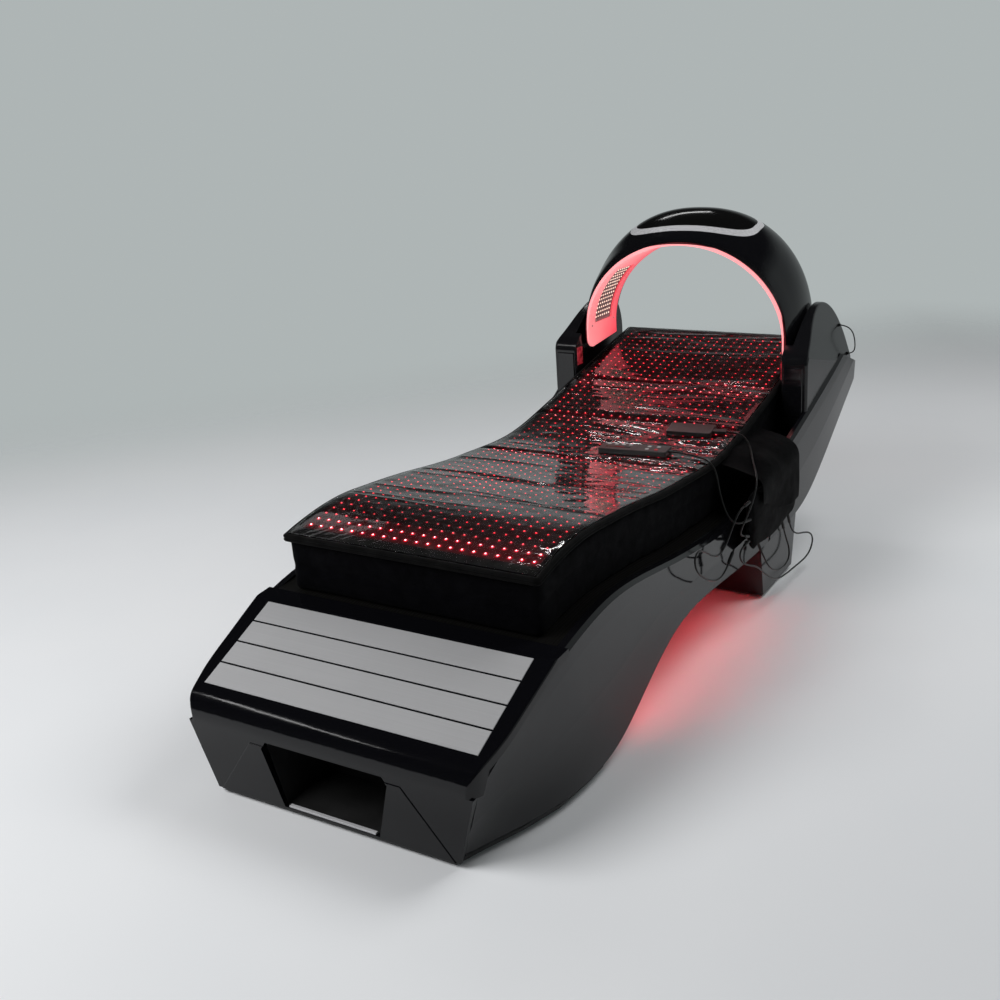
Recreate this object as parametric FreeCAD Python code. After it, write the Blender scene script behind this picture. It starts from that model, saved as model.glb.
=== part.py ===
import math
import os

import FreeCAD
import Part

V = FreeCAD.Vector

# All lengths are millimetres. Y runs from the foot end to the head end, Z is up.
# Stations along the bed are measured from the foot edge of the mattress. At export the
# bed is moved so that the origin lies on the floor under its middle.

# Padding stack
MATTRESS_HALF_WIDTH = 356.0
MATTRESS_START = 2.0
MATTRESS_LENGTH = 1903.0
MATTRESS_THICK = 140.0
MATTRESS_CORNER = 22.0
SIDE_CHANNEL_WIDTH = 7.0
SIDE_CHANNEL_DEPTH = 4.0
SIDE_CHANNEL_DROP = 58.8
MAT_OVERHANG = 3.0
MAT_END_OVERHANG = 5.0
MAT_THICK = 20.0
MAT_CORNER = 14.0
BINDING_WIDTH = 17.0
BINDING_ROUND = 4.0
BINDING_SUNK = 1.5
BINDING_GROOVE_DEPTH = 4.0
BINDING_GROOVE_WIDTH = 2.0
BINDING_GROOVE_DROP = 9.5
COVER_THICK = 1.2
COVER_INSET = 9.0
MATTRESS_END = MATTRESS_START + MATTRESS_LENGTH
MAT_HALF_WIDTH = MATTRESS_HALF_WIDTH + MAT_OVERHANG
MAT_START = MATTRESS_START - MAT_END_OVERHANG
MAT_END = MATTRESS_END + MAT_END_OVERHANG
PADDING_STACK = MATTRESS_THICK + MAT_THICK

# Deck and head panel: the deck runs a little past the mattress, the head panel closes it
DECK_MARGIN = 36.0
DECK_END_MARGIN = 17.0
DECK_THICK = 14.0
HEAD_PANEL_THICK = 12.0
HEAD_PANEL_TOP = 560.0
DECK_HALF = MATTRESS_HALF_WIDTH + DECK_MARGIN
DECK_END = MATTRESS_END + DECK_END_MARGIN
TIP_STATION = DECK_END + HEAD_PANEL_THICK
FRONT_STATION = -318.0

# Lying surface, height of the mat top at stations from foot to head
LYING_WAVE = (
    (-340.0, 500.0), (-150.0, 505.0), (-20.0, 519.0), (130.0, 533.0), (209.0, 539.0),
    (339.0, 531.0), (479.0, 518.0), (630.0, 497.0), (761.0, 486.0), (848.0, 480.0),
    (976.0, 473.0), (1095.0, 481.0), (1243.0, 507.0), (1367.0, 535.0), (1591.0, 583.0),
    (1806.0, 629.0), (TIP_STATION + 26.0, 657.0),
)

# Floor pads and base plates; the plate outline is a station and a distance outside the deck edge
PAD_RADIUS = 24.0
PAD_HEIGHT = 4.0
PLATE_THICK = 8.0
PLATE_HEIGHT = PAD_HEIGHT + PLATE_THICK
FRONT_PLATE_PLAN = ((-322.0, -74.0), (-250.0, -47.0), (-160.0, -9.0), (-60.0, 21.0), (60.0, 32.0))
FRONT_PAD_INSET = 132.0
FRONT_PAD_STATION = -285.0
MIDDLE_PAD_INSET = 7.0
MIDDLE_PAD_STATION = 85.0
REAR_PAD_OUTSET = 3.0
REAR_PAD_MARGIN = 35.0

# Side shells: station with ridge height, lower edge height, and distances outside the deck edge
RIDGE_HEIGHT = (
    (FRONT_STATION, 196.0), (-250.0, 258.0), (-160.0, 300.0), (-60.0, 343.0), (12.0, 364.0),
    (112.0, 382.0), (207.0, 393.0), (306.0, 388.0), (433.0, 370.0), (570.0, 347.0),
    (720.0, 328.0), (883.0, 313.0), (1000.0, 316.0), (1100.0, 336.0), (1230.0, 378.0),
    (1370.0, 427.0), (1490.0, 480.0), (1600.0, 528.0), (1720.0, 580.0), (TIP_STATION, 671.0),
)
RIDGE_OUTSET = (
    (FRONT_STATION, -6.0), (-250.0, 12.0), (-160.0, 20.0), (-60.0, 26.0), (12.0, 28.0),
    (883.0, 28.0), (1100.0, 33.0), (1250.0, 42.0), (1370.0, 53.0), (1490.0, 64.0),
    (1600.0, 74.0), (1798.0, 86.0), (TIP_STATION, 88.0),
)
LOWER_HEIGHT = (
    (FRONT_STATION, PLATE_HEIGHT), (-60.0, PLATE_HEIGHT), (60.0, PLATE_HEIGHT),
    (150.0, PLATE_HEIGHT + 5.0), (238.0, 50.0), (305.0, 84.0), (373.0, 119.0), (444.0, 150.0),
    (516.0, 171.0), (591.0, 182.0), (694.0, 182.0), (830.0, 172.0), (977.0, 161.0),
    (1120.0, 155.0), (1300.0, 157.0), (1420.0, 172.0), (1500.0, 196.0), (1616.0, 268.0),
    (1772.0, 377.0), (TIP_STATION, 486.0),
)
LOWER_OUTSET = (
    (FRONT_STATION, -59.0), (-250.0, -31.0), (-160.0, 7.0), (-60.0, 38.0), (60.0, 50.0),
    (200.0, 51.0), (900.0, 50.0), (1100.0, 50.0), (1300.0, 54.0), (1500.0, 67.0),
    (1700.0, 79.0), (TIP_STATION, 88.0),
)
INNER_OUTSET = (
    (-345.0, -96.0), (FRONT_STATION, -88.0), (-250.0, -62.0), (-160.0, -26.0), (-60.0, 0.0),
    (1000.0, 0.0), (1430.0, 36.0), (1560.0, 54.0), (TIP_STATION + 26.0, 54.0),
)
HEAD_OUTSET = INNER_OUTSET[-1][1]
SHELL_BEVEL = 16.0
SHELL_DEPTH = 90.0
RIDGE_ROUND = 9.0
RIDGE_SHOULDER = 34.0
PANEL_CROWN = 4.0
SHELL_STATIONS = 31
FLOW_REACH = 95.0
TIP_CUT_START = (TIP_STATION - 131.0, 613.0)
TIP_CUT_END = (TIP_STATION, 564.0)

# Foot nose: section as (station, height), plan as distance outside the deck edge and station
NOSE_THICK = 20.0
DECK_FRONT = (-300.0, 245.0)
DECK_KNEE = (-52.0, 357.0)
DECK_BACK = (1.0, 361.0)
LIP_ROLL = ((-319.5, 233.0), (-331.5, 216.5), (-337.0, 197.0))
LIP_UNDER = (-337.5, 180.0)
LIP_BACK = (-309.0, 180.0)
NOSE_PLAN = (
    (-26.0, -339.0), (-9.0, -325.0), (4.0, -290.0), (13.0, -250.0), (21.0, -160.0),
    (27.0, -60.0), (29.0, 2.0),
)
SHOULDER_ROUND = 5.0

# Foot treads
TREAD_COUNT = 4
TREAD_INSET = 22.0
TREAD_FIRST = (-287.0, 251.2)
TREAD_LAST = (-58.0, 354.6)
TREAD_GAP = 4.5
TREAD_THICK = 4.0
TREAD_PROUD = 1.4
TREAD_ROUND = 0.9
TREAD_HALF_LENGTH = DECK_HALF - TREAD_INSET

# Front fascia, block and foot recess
FASCIA_THICK = 8.0
FASCIA_LOW_INSET = 59.0
FASCIA_HIGH_INSET = 8.0
FASCIA_LEAN = 9.0
BLOCK_PROUD = 2.0
BLOCK_SIDE_INSET = 11.0
BLOCK_HIGH_HALF = 204.0
BLOCK_TOP_INSET = 17.0
BLOCK_ROUND = 1.6
RECESS_LOW_HALF = 131.0
RECESS_SPREAD = 40.0
RECESS_TOP_INSET = 6.0
RECESS_CHAMFER = 18.0
RECESS_CHAMFER_WIDTH = 13.0
RECESS_DEPTH = 150.0
RECESS_WALL = 4.0
RECESS_LIFT = 1.0
TRIM_HEIGHT = 5.0
TRIM_DEPTH = 9.0
TRIM_INSET = 12.0
TRIM_ROUND = 1.2
FASCIA_BACK = FRONT_STATION
FASCIA_FRONT = FASCIA_BACK - FASCIA_THICK
FASCIA_TOP = LIP_UNDER[1]
FASCIA_LOW_HALF = DECK_HALF - FASCIA_LOW_INSET
FASCIA_HIGH_HALF = DECK_HALF - FASCIA_HIGH_INSET
BLOCK_FRONT = FASCIA_FRONT - BLOCK_PROUD
BLOCK_LOW_HALF = FASCIA_LOW_HALF - BLOCK_SIDE_INSET
BLOCK_TOP = FASCIA_TOP - BLOCK_TOP_INSET
RECESS_HIGH_HALF = RECESS_LOW_HALF + RECESS_SPREAD
RECESS_TOP_HALF = RECESS_HIGH_HALF - RECESS_CHAMFER_WIDTH
RECESS_LOW = PLATE_HEIGHT + RECESS_WALL + RECESS_LIFT
RECESS_HIGH = FASCIA_TOP - RECESS_TOP_INSET
RECESS_MID = RECESS_HIGH - RECESS_CHAMFER

# Pedestal at the head end, with its mains inlet and rocker switch
PEDESTAL_OUTSET = 48.0
PEDESTAL_FRONT_LOW = 1150.0
PEDESTAL_FRONT_HIGH = 1130.0
PEDESTAL_REAR_LOW = 1410.0
PEDESTAL_REAR_HIGH = 1450.0
PEDESTAL_TOP = 150.0
PEDESTAL_HEAD = 40.0
PEDESTAL_HEAD_CHAMFER = 10.0
PEDESTAL_WALL = 12.0
PEDESTAL_PLATE_INSET = 6.0
PEDESTAL_HALF = DECK_HALF + PEDESTAL_OUTSET
INLET_HALF = 42.0
INLET_HALF_HEIGHT = 18.0
INLET_DEPTH = 18.0
INLET_PROUD = 6.0
SOCKET_CENTRE = -21.0
SOCKET_HALF = 13.0
SOCKET_HALF_HEIGHT = 9.0
SOCKET_DEPTH = 12.0
SOCKET_PIN_PITCH = 7.0
SOCKET_PIN_LENGTH = 10.0
ROCKER_X = 22.0
ROCKER_HEIGHT = 60.0
ROCKER_SETBACK = 8.0
ROCKER_RADIUS = 6.95
ROCKER_CLEARANCE = 0.05
ROCKER_HALF_LENGTH = 7.0
ROCKER_END_CLEARANCE = 0.5
ROCKER_FACE_HALF = 6.5
ROCKER_FACE_REACH = 9.0
ROCKER_STEM_HALF = 3.0
ROCKER_SLOT_HALF = 4.8
INLET_FACE = PEDESTAL_REAR_LOW + INLET_PROUD
INLET_FRONT = INLET_FACE - INLET_DEPTH
INLET_LOW = ROCKER_HEIGHT - INLET_HALF_HEIGHT
INLET_HIGH = ROCKER_HEIGHT + INLET_HALF_HEIGHT
ROCKER_STATION = INLET_FACE - ROCKER_SETBACK
ROCKER_BORE = ROCKER_RADIUS + ROCKER_CLEARANCE

# Pans, bulkhead, ribs, columns and power supply inside the body
PAN_THICK = 8.0
PAN_LIFT = 14.0
PAN_GAP = 2.0
BULKHEAD_START = 112.0
BULKHEAD_THICK = 12.0
BELLY_START = BULKHEAD_START + BULKHEAD_THICK
BELLY_END = PEDESTAL_FRONT_HIGH - PAN_GAP
REAR_PAN_START = PEDESTAL_REAR_HIGH + PAN_GAP
RIB_OFFSET = 190.0
RIB_THICK = 18.0
RIB_MARGIN = 16.0
RIB_HOLES = 7
RIB_HOLE_RADIUS = 32.0
RIB_FIRST_HOLE = 90.0
RIB_HOLE_PITCH = 130.0
RIB_START = BELLY_START + RIB_MARGIN
RIB_END = BELLY_END - RIB_MARGIN
COLUMN_SIDE = 60.0
COLUMN_WALL = 4.0
COLUMN_OFFSET = 250.0
COLUMN_FRONT = 50.0
COLUMN_REAR = 1285.0
SUPPLY_HALF_WIDTH = 120.0
SUPPLY_DEPTH = 45.0
SUPPLY_HEIGHT = 80.0
SUPPLY_MARGIN = 45.0
SUPPLY_ROUND = 3.0
SUPPLY_START = PEDESTAL_FRONT_LOW + SUPPLY_MARGIN
GLOW_STRIP_WIDTH = 12.0
GLOW_STRIP_HEIGHT = 5.0
GLOW_INSET = 20.0
GLOW_START = 300.0
GLOW_END = 1090.0
GLOW_OFFSET = DECK_HALF - GLOW_INSET

# Arch: its pivot is placed from the head end of the mattress
PIVOT_FROM_HEAD = 145.0
PIVOT_HEIGHT = 674.0
PIVOT_RADIUS = 12.0
PIVOT_CLEARANCE = 0.05
PIVOT_SHOULDER_RADIUS = 24.0
PIVOT_SHOULDER_THICK = 2.5
PIVOT_SEAT = 14.0
BUSH_WALL = 4.0
BUSH_LENGTH = 23.0
ARCH_SIDE_OVERLAP = 12.0
ARCH_SPRING_RISE = 16.0
ARCH_INNER_RISE = 300.0
ARCH_AHEAD = 182.0
ARCH_BEHIND = 46.0
LEG_FRONT_DROP = 40.0
LEG_REAR_DROP = 24.0
LEG_TIP_ROUND = 34.0
LINER_THICK = 6.0
LINER_LIP = 10.0
LINER_LIP_DEPTH = 7.0
LINER_REAR_INSET = 20.0
LINER_SCREW_RADIUS = 3.2
LINER_SCREW_LENGTH = 4.0
LINER_SCREW_PROUD = 0.8
BOARD_THICK = 3.0
BOARD_MARGIN = 8.0
WINDOW_FRONT_INSET = 44.0
WINDOW_REAR_INSET = 58.0
WINDOW_LOW_RISE = 22.0
WINDOW_HIGH_RISE = 210.0
ARCH_POWER = 2.25
PIVOT_STATION = MATTRESS_END - PIVOT_FROM_HEAD
ARCH_INNER_HALF = MAT_HALF_WIDTH - ARCH_SIDE_OVERLAP
ARCH_SPRING = PIVOT_HEIGHT + ARCH_SPRING_RISE
ARCH_FRONT = PIVOT_STATION - ARCH_AHEAD
ARCH_REAR = PIVOT_STATION + ARCH_BEHIND
LEG_BOTTOM_FRONT = PIVOT_HEIGHT - LEG_FRONT_DROP
LEG_BOTTOM_REAR = PIVOT_HEIGHT - LEG_REAR_DROP
LINER_REAR = ARCH_REAR - LINER_REAR_INSET
WINDOW_FRONT = ARCH_FRONT + WINDOW_FRONT_INSET
WINDOW_REAR = ARCH_REAR - WINDOW_REAR_INSET
WINDOW_LOW = ARCH_SPRING + WINDOW_LOW_RISE
WINDOW_HIGH = ARCH_SPRING + WINDOW_HIGH_RISE
# Outer arch sections: station from the pivot, side thickness, crown thickness
ARCH_SECTIONS = (
    (-ARCH_AHEAD, 11.0, 14.0), (14.0 - ARCH_AHEAD, 17.0, 26.0), (-135.0, 26.0, 48.0), (-90.0, 34.0, 82.0),
    (-40.0, 37.0, 102.0), (5.0, 35.0, 102.0), (35.0, 30.0, 90.0), (ARCH_BEHIND, 24.0, 76.0),
)
ARCH_SIDE_MOST = max(section[1] for section in ARCH_SECTIONS)
DISPLAY_AHEAD = 49.0
DISPLAY_HALF_LENGTH = 208.0
DISPLAY_HALF_WIDTH = 74.0
DISPLAY_POWER = 3.0
BEZEL_WIDTH = 20.0
BEZEL_DEPTH = 4.0
DISPLAY_CENTRE = PIVOT_STATION - DISPLAY_AHEAD

# Arms beside the head rest
CHEEK_CLEARANCE = 3.0
LIT_PANEL_THICK = 3.0
LEG_CLEARANCE = 4.0
ARM_TOP_THICK = 20.0
ARM_LOW_THICK = 84.0
ARM_AHEAD = 250.0
ARM_BEHIND = 155.0
ARM_TOP_RISE = 112.0
ARM_BEND_HEIGHT = 590.0
ARM_FOOT_HEIGHT = 330.0
CHEEK_DEPTH = 46.0
ARM_RIDGE_INSET = 8.0
ARM_ROUND = 9.0
ARM_FRONT = PIVOT_STATION - ARM_AHEAD
ARM_REAR = PIVOT_STATION + ARM_BEHIND
ARM_TOP_HEIGHT = PIVOT_HEIGHT + ARM_TOP_RISE
ARM_INNER_FRONT = MAT_HALF_WIDTH + LIT_PANEL_THICK + CHEEK_CLEARANCE
ARM_INNER_REAR = ARCH_INNER_HALF + ARCH_SIDE_MOST + LEG_CLEARANCE
ARM_OUTER_TOP = ARM_INNER_REAR + ARM_TOP_THICK
ARM_OUTER_LOW = ARM_INNER_REAR + ARM_LOW_THICK
# Top line of an arm: station and height from the pivot
ARM_TOP_LINE = (
    (-ARM_AHEAD, -38.0), (9.0 - ARM_AHEAD, -14.0), (-200.0, 16.0), (-130.0, 64.0), (-60.0, 99.0),
    (5.0, ARM_TOP_RISE), (75.0, 100.0), (ARM_BEHIND - 30.0, 61.0), (ARM_BEHIND - 6.0, 10.0),
    (ARM_BEHIND, -34.0),
)
CAP_THICK = 4.0
CAP_SIDE_INSET = 9.0
CAP_OUTER_INSET = 36.0
CAP_HEIGHT = 158.0
CAP_TOP_DROP = 46.0
CAP_ROUND = 3.0
LIT_PANEL_HEIGHT = 60.0
LIT_PANEL_TOP_DROP = 29.0
LIT_PANEL_FRONT_INSET = 7.0
LIT_PANEL_REAR_INSET = 5.0
LIT_PANEL_ROUND = 1.2
GROMMET_FROM_REAR = 35.0
GROMMET_HIGH_RISE = 20.0
GROMMET_LOW_DROP = 74.0
GROMMET_RADIUS = 4.5
GROMMET_LENGTH = 16.0
GROMMET_PROUD = 6.0
GROMMET_STATION = ARM_REAR - GROMMET_FROM_REAR
GROMMET_HIGH = PIVOT_HEIGHT + GROMMET_HIGH_RISE
GROMMET_LOW = PIVOT_HEIGHT - GROMMET_LOW_DROP

# Handsets lying on the mat
HANDSET_LENGTH = 206.0
HANDSET_WIDTH = 64.0
HANDSET_THICK = 15.0
HANDSET_ROUND = 5.0
HANDSET_TOP_ROUND = 2.5
HANDSET_STATION = 984.0
HANDSET_ACROSS = 106.0
HANDSET_TURN = 7.0
RELIEF_RADIUS = 4.0
RELIEF_LENGTH = 11.0
KEY_SIDE = 10.0
KEY_HEIGHT = 5.0
KEY_PROUD = 1.6
KEY_CLEARANCE = 0.3
KEY_TRAVEL_ROOM = 1.4
KEY_ROUND = 0.7
KEY_ROW_INSET = 21.0
KEY_ROW_EDGE = 15.0
KEY_ROW_PITCH = 22.0
KEY_BLOCK_INSET = 33.0
KEY_BLOCK_PITCH = 28.0
KEY_BLOCK_HALF = 13.0
READOUT_INSET = 17.0
READOUT_EDGE = 19.0
READOUT_LENGTH = 76.0
READOUT_WIDTH = 12.0
READOUT_DEPTH = 1.5
READOUT_PROUD = 0.3
DIVIDER_INSET = 93.0
DIVIDER_WIDTH = 2.0
DIVIDER_MARGIN = 8.0
DIVIDER_DEPTH = 0.8
SECOND_LENGTH = 140.0
SECOND_WIDTH = 62.0
SECOND_THICK = 13.0
SECOND_ROUND = 6.0
SECOND_STATION = 1172.0
SECOND_ACROSS = 204.0
SECOND_TURN = 4.0
SECOND_TILT = 10.6
SECOND_LIFT = 0.5
PLUG_LENGTH = 40.0
PLUG_WIDTH = 18.0
PLUG_LOW = 1.5
PLUG_THICK = 9.5
PLUG_ROUND = 2.0
REST_LIFT = 0.4
REST_REACH = 44.0

# Pouch and cords
POUCH_START = 940.0
POUCH_END = 1368.0
POUCH_LOW = 205.0
POUCH_HIGH = 424.0
POUCH_OUTSET = 61.0
POUCH_THICK = 26.0
POUCH_CORNER = 40.0
POUCH_ROUND = 11.0
FLAP_START = 1030.0
FLAP_END = 1320.0
FLAP_THICK = 3.0
FLAP_HANG = 34.0
FLAP_RISE = 26.0
FLAP_EDGE = 4.0
CORD_DIAMETER = 5.0
THIN_CORD_DIAMETER = 4.0
SLEEVE_RADIUS = 4.5
SLEEVE_LENGTH = 28.8
SLEEVE_PROUD = 19.0
SLEEVE_DROP = 12.0
CORD_SEAT_GAP = 0.5
BARREL_RADIUS = 5.0
BARREL_LENGTH = 34.0
BARREL_TIP_RADIUS = 2.7
BARREL_TIP_LENGTH = 9.0
POUCH_BACK = DECK_HALF + POUCH_OUTSET
POUCH_FRONT = POUCH_BACK + POUCH_THICK
SLEEVE_X = POUCH_BACK + POUCH_THICK / 2.0
SLEEVE_END = POUCH_START - SLEEVE_PROUD
LOOP_SLEEVE_LOW = POUCH_LOW - SLEEVE_DROP

nodes = {}


def smooth(table, station):
    # Slope-limited cubic through the table of (station, value).
    if station <= table[0][0]:
        return table[0][1]
    if station >= table[-1][0]:
        return table[-1][1]
    count = len(table)
    slopes = []
    for i in range(count - 1):
        slopes.append((table[i + 1][1] - table[i][1]) / (table[i + 1][0] - table[i][0]))
    tangents = [slopes[0]]
    for i in range(1, count - 1):
        if slopes[i - 1] * slopes[i] <= 0:
            tangents.append(0.0)
        else:
            tangents.append(2.0 * slopes[i - 1] * slopes[i] / (slopes[i - 1] + slopes[i]))
    tangents.append(slopes[-1])
    for i in range(count - 1):
        if station <= table[i + 1][0]:
            h = table[i + 1][0] - table[i][0]
            t = (station - table[i][0]) / h
            a = (1 + 2 * t) * (1 - t) ** 2
            b = t * (1 - t) ** 2
            c = t * t * (3 - 2 * t)
            d = t * t * (t - 1)
            return a * table[i][1] + b * h * tangents[i] + c * table[i + 1][1] + d * h * tangents[i + 1]


def flowing(table, station):
    # The same curve averaged over a short stretch, so the glossy panels carry no ripples.
    reach = min(FLOW_REACH, station - table[0][0], table[-1][0] - station)
    if reach <= 0:
        return smooth(table, station)
    total = 0.0
    weight = 0.0
    for i in range(-8, 9):
        share = 1.0 - (i / 9.0) ** 2
        total += share * smooth(table, station + reach * i / 8.0)
        weight += share
    return total / weight


def box(x0, x1, y0, y1, z0, z1):
    return Part.makeBox(x1 - x0, y1 - y0, z1 - z0, V(x0, y0, z0))


def polygon(points):
    return Part.makePolygon(list(points) + [points[0]])


def side_profile(points, x0, x1):
    # Closed outline in the Y Z plane, given as (station, height), run across X.
    wire = polygon([V(x0, p[0], p[1]) for p in points])
    return Part.Face(wire).extrude(V(x1 - x0, 0, 0))


def front_profile(points, y0, y1):
    # Closed outline in the X Z plane run along Y.
    wire = polygon([V(p[0], y0, p[1]) for p in points])
    return Part.Face(wire).extrude(V(0, y1 - y0, 0))


def plan_profile(points, z0, z1):
    wire = polygon([V(p[0], p[1], z0) for p in points])
    return Part.Face(wire).extrude(V(0, 0, z1 - z0))


def mirrored(shape):
    return shape.mirror(V(0, 0, 0), V(1, 0, 0))


def wave_curve(drop, x):
    curve = Part.BSplineCurve()
    curve.interpolate([V(x, p[0], p[1] - drop) for p in LYING_WAVE])
    return curve.toShape()


def wave_slab(low_drop, high_drop, y0, y1, x0, x1):
    # Slab between two copies of the lying wave, cut to a stretch of the bed.
    upper = wave_curve(high_drop, x0)
    lower = wave_curve(low_drop, x0)
    first = LYING_WAVE[0]
    last = LYING_WAVE[-1]
    start = Part.makeLine(V(x0, first[0], first[1] - low_drop), V(x0, first[0], first[1] - high_drop))
    end = Part.makeLine(V(x0, last[0], last[1] - low_drop), V(x0, last[0], last[1] - high_drop))
    wire = Part.Wire(Part.__sortEdges__([upper, end, lower, start]))
    slab = Part.Face(wire).extrude(V(x1 - x0, 0, 0))
    return slab.common(box(x0 - 1, x1 + 1, y0, y1, -200, 900))


def wave_height(station):
    curve = Part.BSplineCurve()
    curve.interpolate([V(0, p[0], p[1]) for p in LYING_WAVE])
    line = Part.makeLine(V(0, station, -1000), V(0, station, 2000))
    hit = curve.toShape().distToShape(line)
    return hit[1][0][0].z


def rounded(shape, radius, wanted):
    edges = [e for e in shape.Edges if wanted(e)]
    return shape.makeFillet(radius, edges)


def add(name, shape):
    if shape.ShapeType == "Compound" and len(shape.Solids) == 1:
        shape = shape.Solids[0]
    nodes[name] = shape
    print(name, shape.isValid(), len(shape.Solids), round(shape.Volume / 1000.0, 1))


def tube(points, diameter, label):
    # Straight runs joined by tangent arcs; each corner uses 0.45 of its shorter run.
    edges = []
    radii = []
    start = points[0]
    for i in range(1, len(points) - 1):
        before = points[i] - points[i - 1]
        after = points[i + 1] - points[i]
        turn = before.getAngle(after)
        reach = 0.45 * min(before.Length, after.Length)
        radii.append(reach / math.tan(turn / 2.0))
        first = points[i] - before.normalize() * reach
        last = points[i] + after.normalize() * reach
        chord = (first + last) * 0.5 - points[i]
        centre_distance = radii[-1] / math.cos(turn / 2.0)
        middle = points[i] + chord.normalize() * (centre_distance - radii[-1])
        edges.append(Part.LineSegment(start, first).toShape())
        edges.append(Part.Arc(first, middle, last).toShape())
        start = last
    edges.append(Part.LineSegment(start, points[-1]).toShape())
    path = Part.Wire(edges)
    ring = Part.Wire(Part.makeCircle(diameter / 2.0, points[0], points[1] - points[0]))
    solid = path.makePipeShell([ring], True, True)
    section = math.pi * diameter * diameter / 4.0
    ratio = solid.Volume / (section * path.Length)
    least = min(radii)
    print(label, "length", round(path.Length), "least radius", round(least, 1), "volume", round(ratio, 4))
    return solid


def inner_prism(z0, z1):
    right = [(DECK_HALF + p[1], p[0]) for p in INNER_OUTSET]
    left = [(-x, y) for x, y in reversed(right)]
    return plan_profile(right + left, z0, z1)


# Foot nose: bent plate that rolls over into the fascia
def nose_solid():
    slope = math.atan2(DECK_KNEE[1] - DECK_FRONT[1], DECK_KNEE[0] - DECK_FRONT[0])
    down = V(0, math.sin(slope), -math.cos(slope)) * NOSE_THICK
    front = V(0, DECK_FRONT[0], DECK_FRONT[1])
    knee = V(0, DECK_KNEE[0], DECK_KNEE[1])
    back = V(0, DECK_BACK[0], DECK_BACK[1])
    under = V(0, LIP_UNDER[0], LIP_UNDER[1])
    lip_back = V(0, LIP_BACK[0], LIP_BACK[1])
    inner_front = front + down + V(0, 3.0, 0)
    inner_knee = knee + down
    inner_back = back - V(0, 0, NOSE_THICK)
    roll = Part.BSplineCurve()
    roll_points = [front] + [V(0, p[0], p[1]) for p in LIP_ROLL] + [under]
    roll.interpolate(Points=roll_points, InitialTangent=(front - knee).normalize(), FinalTangent=V(0, 0.05, -1))
    edges = [
        Part.LineSegment(back, knee).toShape(),
        Part.LineSegment(knee, front).toShape(),
        roll.toShape(),
        Part.LineSegment(under, lip_back).toShape(),
        Part.LineSegment(lip_back, inner_front).toShape(),
        Part.LineSegment(inner_front, inner_knee).toShape(),
        Part.LineSegment(inner_knee, inner_back).toShape(),
        Part.LineSegment(inner_back, back).toShape(),
    ]
    plate = Part.Face(Part.Wire(edges)).extrude(V(900, 0, 0))
    plate.translate(V(-450, 0, 0))
    plan = [(DECK_HALF + p[0], p[1]) for p in NOSE_PLAN]
    side = Part.BSplineCurve()
    side.interpolate([V(p[0], p[1], 100) for p in plan])
    other = Part.BSplineCurve()
    other.interpolate([V(-p[0], p[1], 100) for p in plan])
    first = plan[0]
    last = plan[-1]
    outline = Part.Wire(Part.__sortEdges__([
        side.toShape(),
        Part.makeLine(V(last[0], last[1], 100), V(-last[0], last[1], 100)),
        other.toShape(),
        Part.makeLine(V(-first[0], first[1], 100), V(first[0], first[1], 100)),
    ]))
    prism = Part.Face(outline).extrude(V(0, 0, 400))
    return plate.common(prism)


nose_blank = nose_solid()


def shoulder(edge):
    b = edge.BoundBox
    if b.XMin < 0:
        b_side = -b.XMax
    else:
        b_side = b.XMin
    if b_side < DECK_HALF - 12:
        return False
    middle = edge.valueAt((edge.FirstParameter + edge.LastParameter) / 2.0)
    run = DECK_KNEE[0] - DECK_FRONT[0]
    plane = DECK_FRONT[1] + (middle.y - DECK_FRONT[0]) / run * (DECK_KNEE[1] - DECK_FRONT[1])
    return abs(middle.z - plane) < 3.0 and b.YLength > 60


nose = rounded(nose_blank, SHOULDER_ROUND, shoulder)

# Treads seated in shallow pockets of the nose
run_y = TREAD_LAST[0] - TREAD_FIRST[0]
run_z = TREAD_LAST[1] - TREAD_FIRST[1]
tread_run = math.hypot(run_y, run_z)
tread_angle = math.degrees(math.atan2(run_z, run_y))
tread_width = (tread_run - (TREAD_COUNT - 1) * TREAD_GAP) / TREAD_COUNT
treads = []
for i in range(TREAD_COUNT):
    low = TREAD_PROUD - TREAD_THICK
    tread = box(-TREAD_HALF_LENGTH, TREAD_HALF_LENGTH, 0, tread_width, low, TREAD_PROUD)
    tread = rounded(tread, TREAD_ROUND, lambda e: e.BoundBox.ZMin > TREAD_PROUD - 0.01)
    tread.translate(V(0, i * (tread_width + TREAD_GAP), 0))
    tread.rotate(V(0, 0, 0), V(1, 0, 0), tread_angle)
    tread.translate(V(0, TREAD_FIRST[0], TREAD_FIRST[1]))
    treads.append(tread)
    nose = nose.cut(tread)
add("foot_nose", nose)
add("foot_treads", Part.makeCompound(treads))


# Side shells
def shell_section(station):
    ridge_z = flowing(RIDGE_HEIGHT, station)
    ridge_x = DECK_HALF + flowing(RIDGE_OUTSET, station)
    low_z = flowing(LOWER_HEIGHT, station)
    low_x = DECK_HALF + flowing(LOWER_OUTSET, station)
    bottom = (low_x - SHELL_BEVEL, low_z)
    heel = (low_x, low_z + SHELL_BEVEL)
    brow = (ridge_x, ridge_z - RIDGE_ROUND)
    part_way = (brow[1] - heel[1] - RIDGE_SHOULDER) / (brow[1] - heel[1])
    cheek = (heel[0] + part_way * (brow[0] - heel[0]) + PANEL_CROWN * 0.5,
             heel[1] + part_way * (brow[1] - heel[1]))
    belly = ((heel[0] + brow[0]) * 0.5 + PANEL_CROWN, (heel[1] + brow[1]) * 0.5)
    crest = (ridge_x - RIDGE_ROUND, ridge_z)
    deep = min(bottom[0], crest[0]) - SHELL_DEPTH
    points = [bottom, heel, belly, cheek, brow, crest, (deep, ridge_z), (deep, low_z)]
    return polygon([V(p[0], station, p[1]) for p in points])


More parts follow.
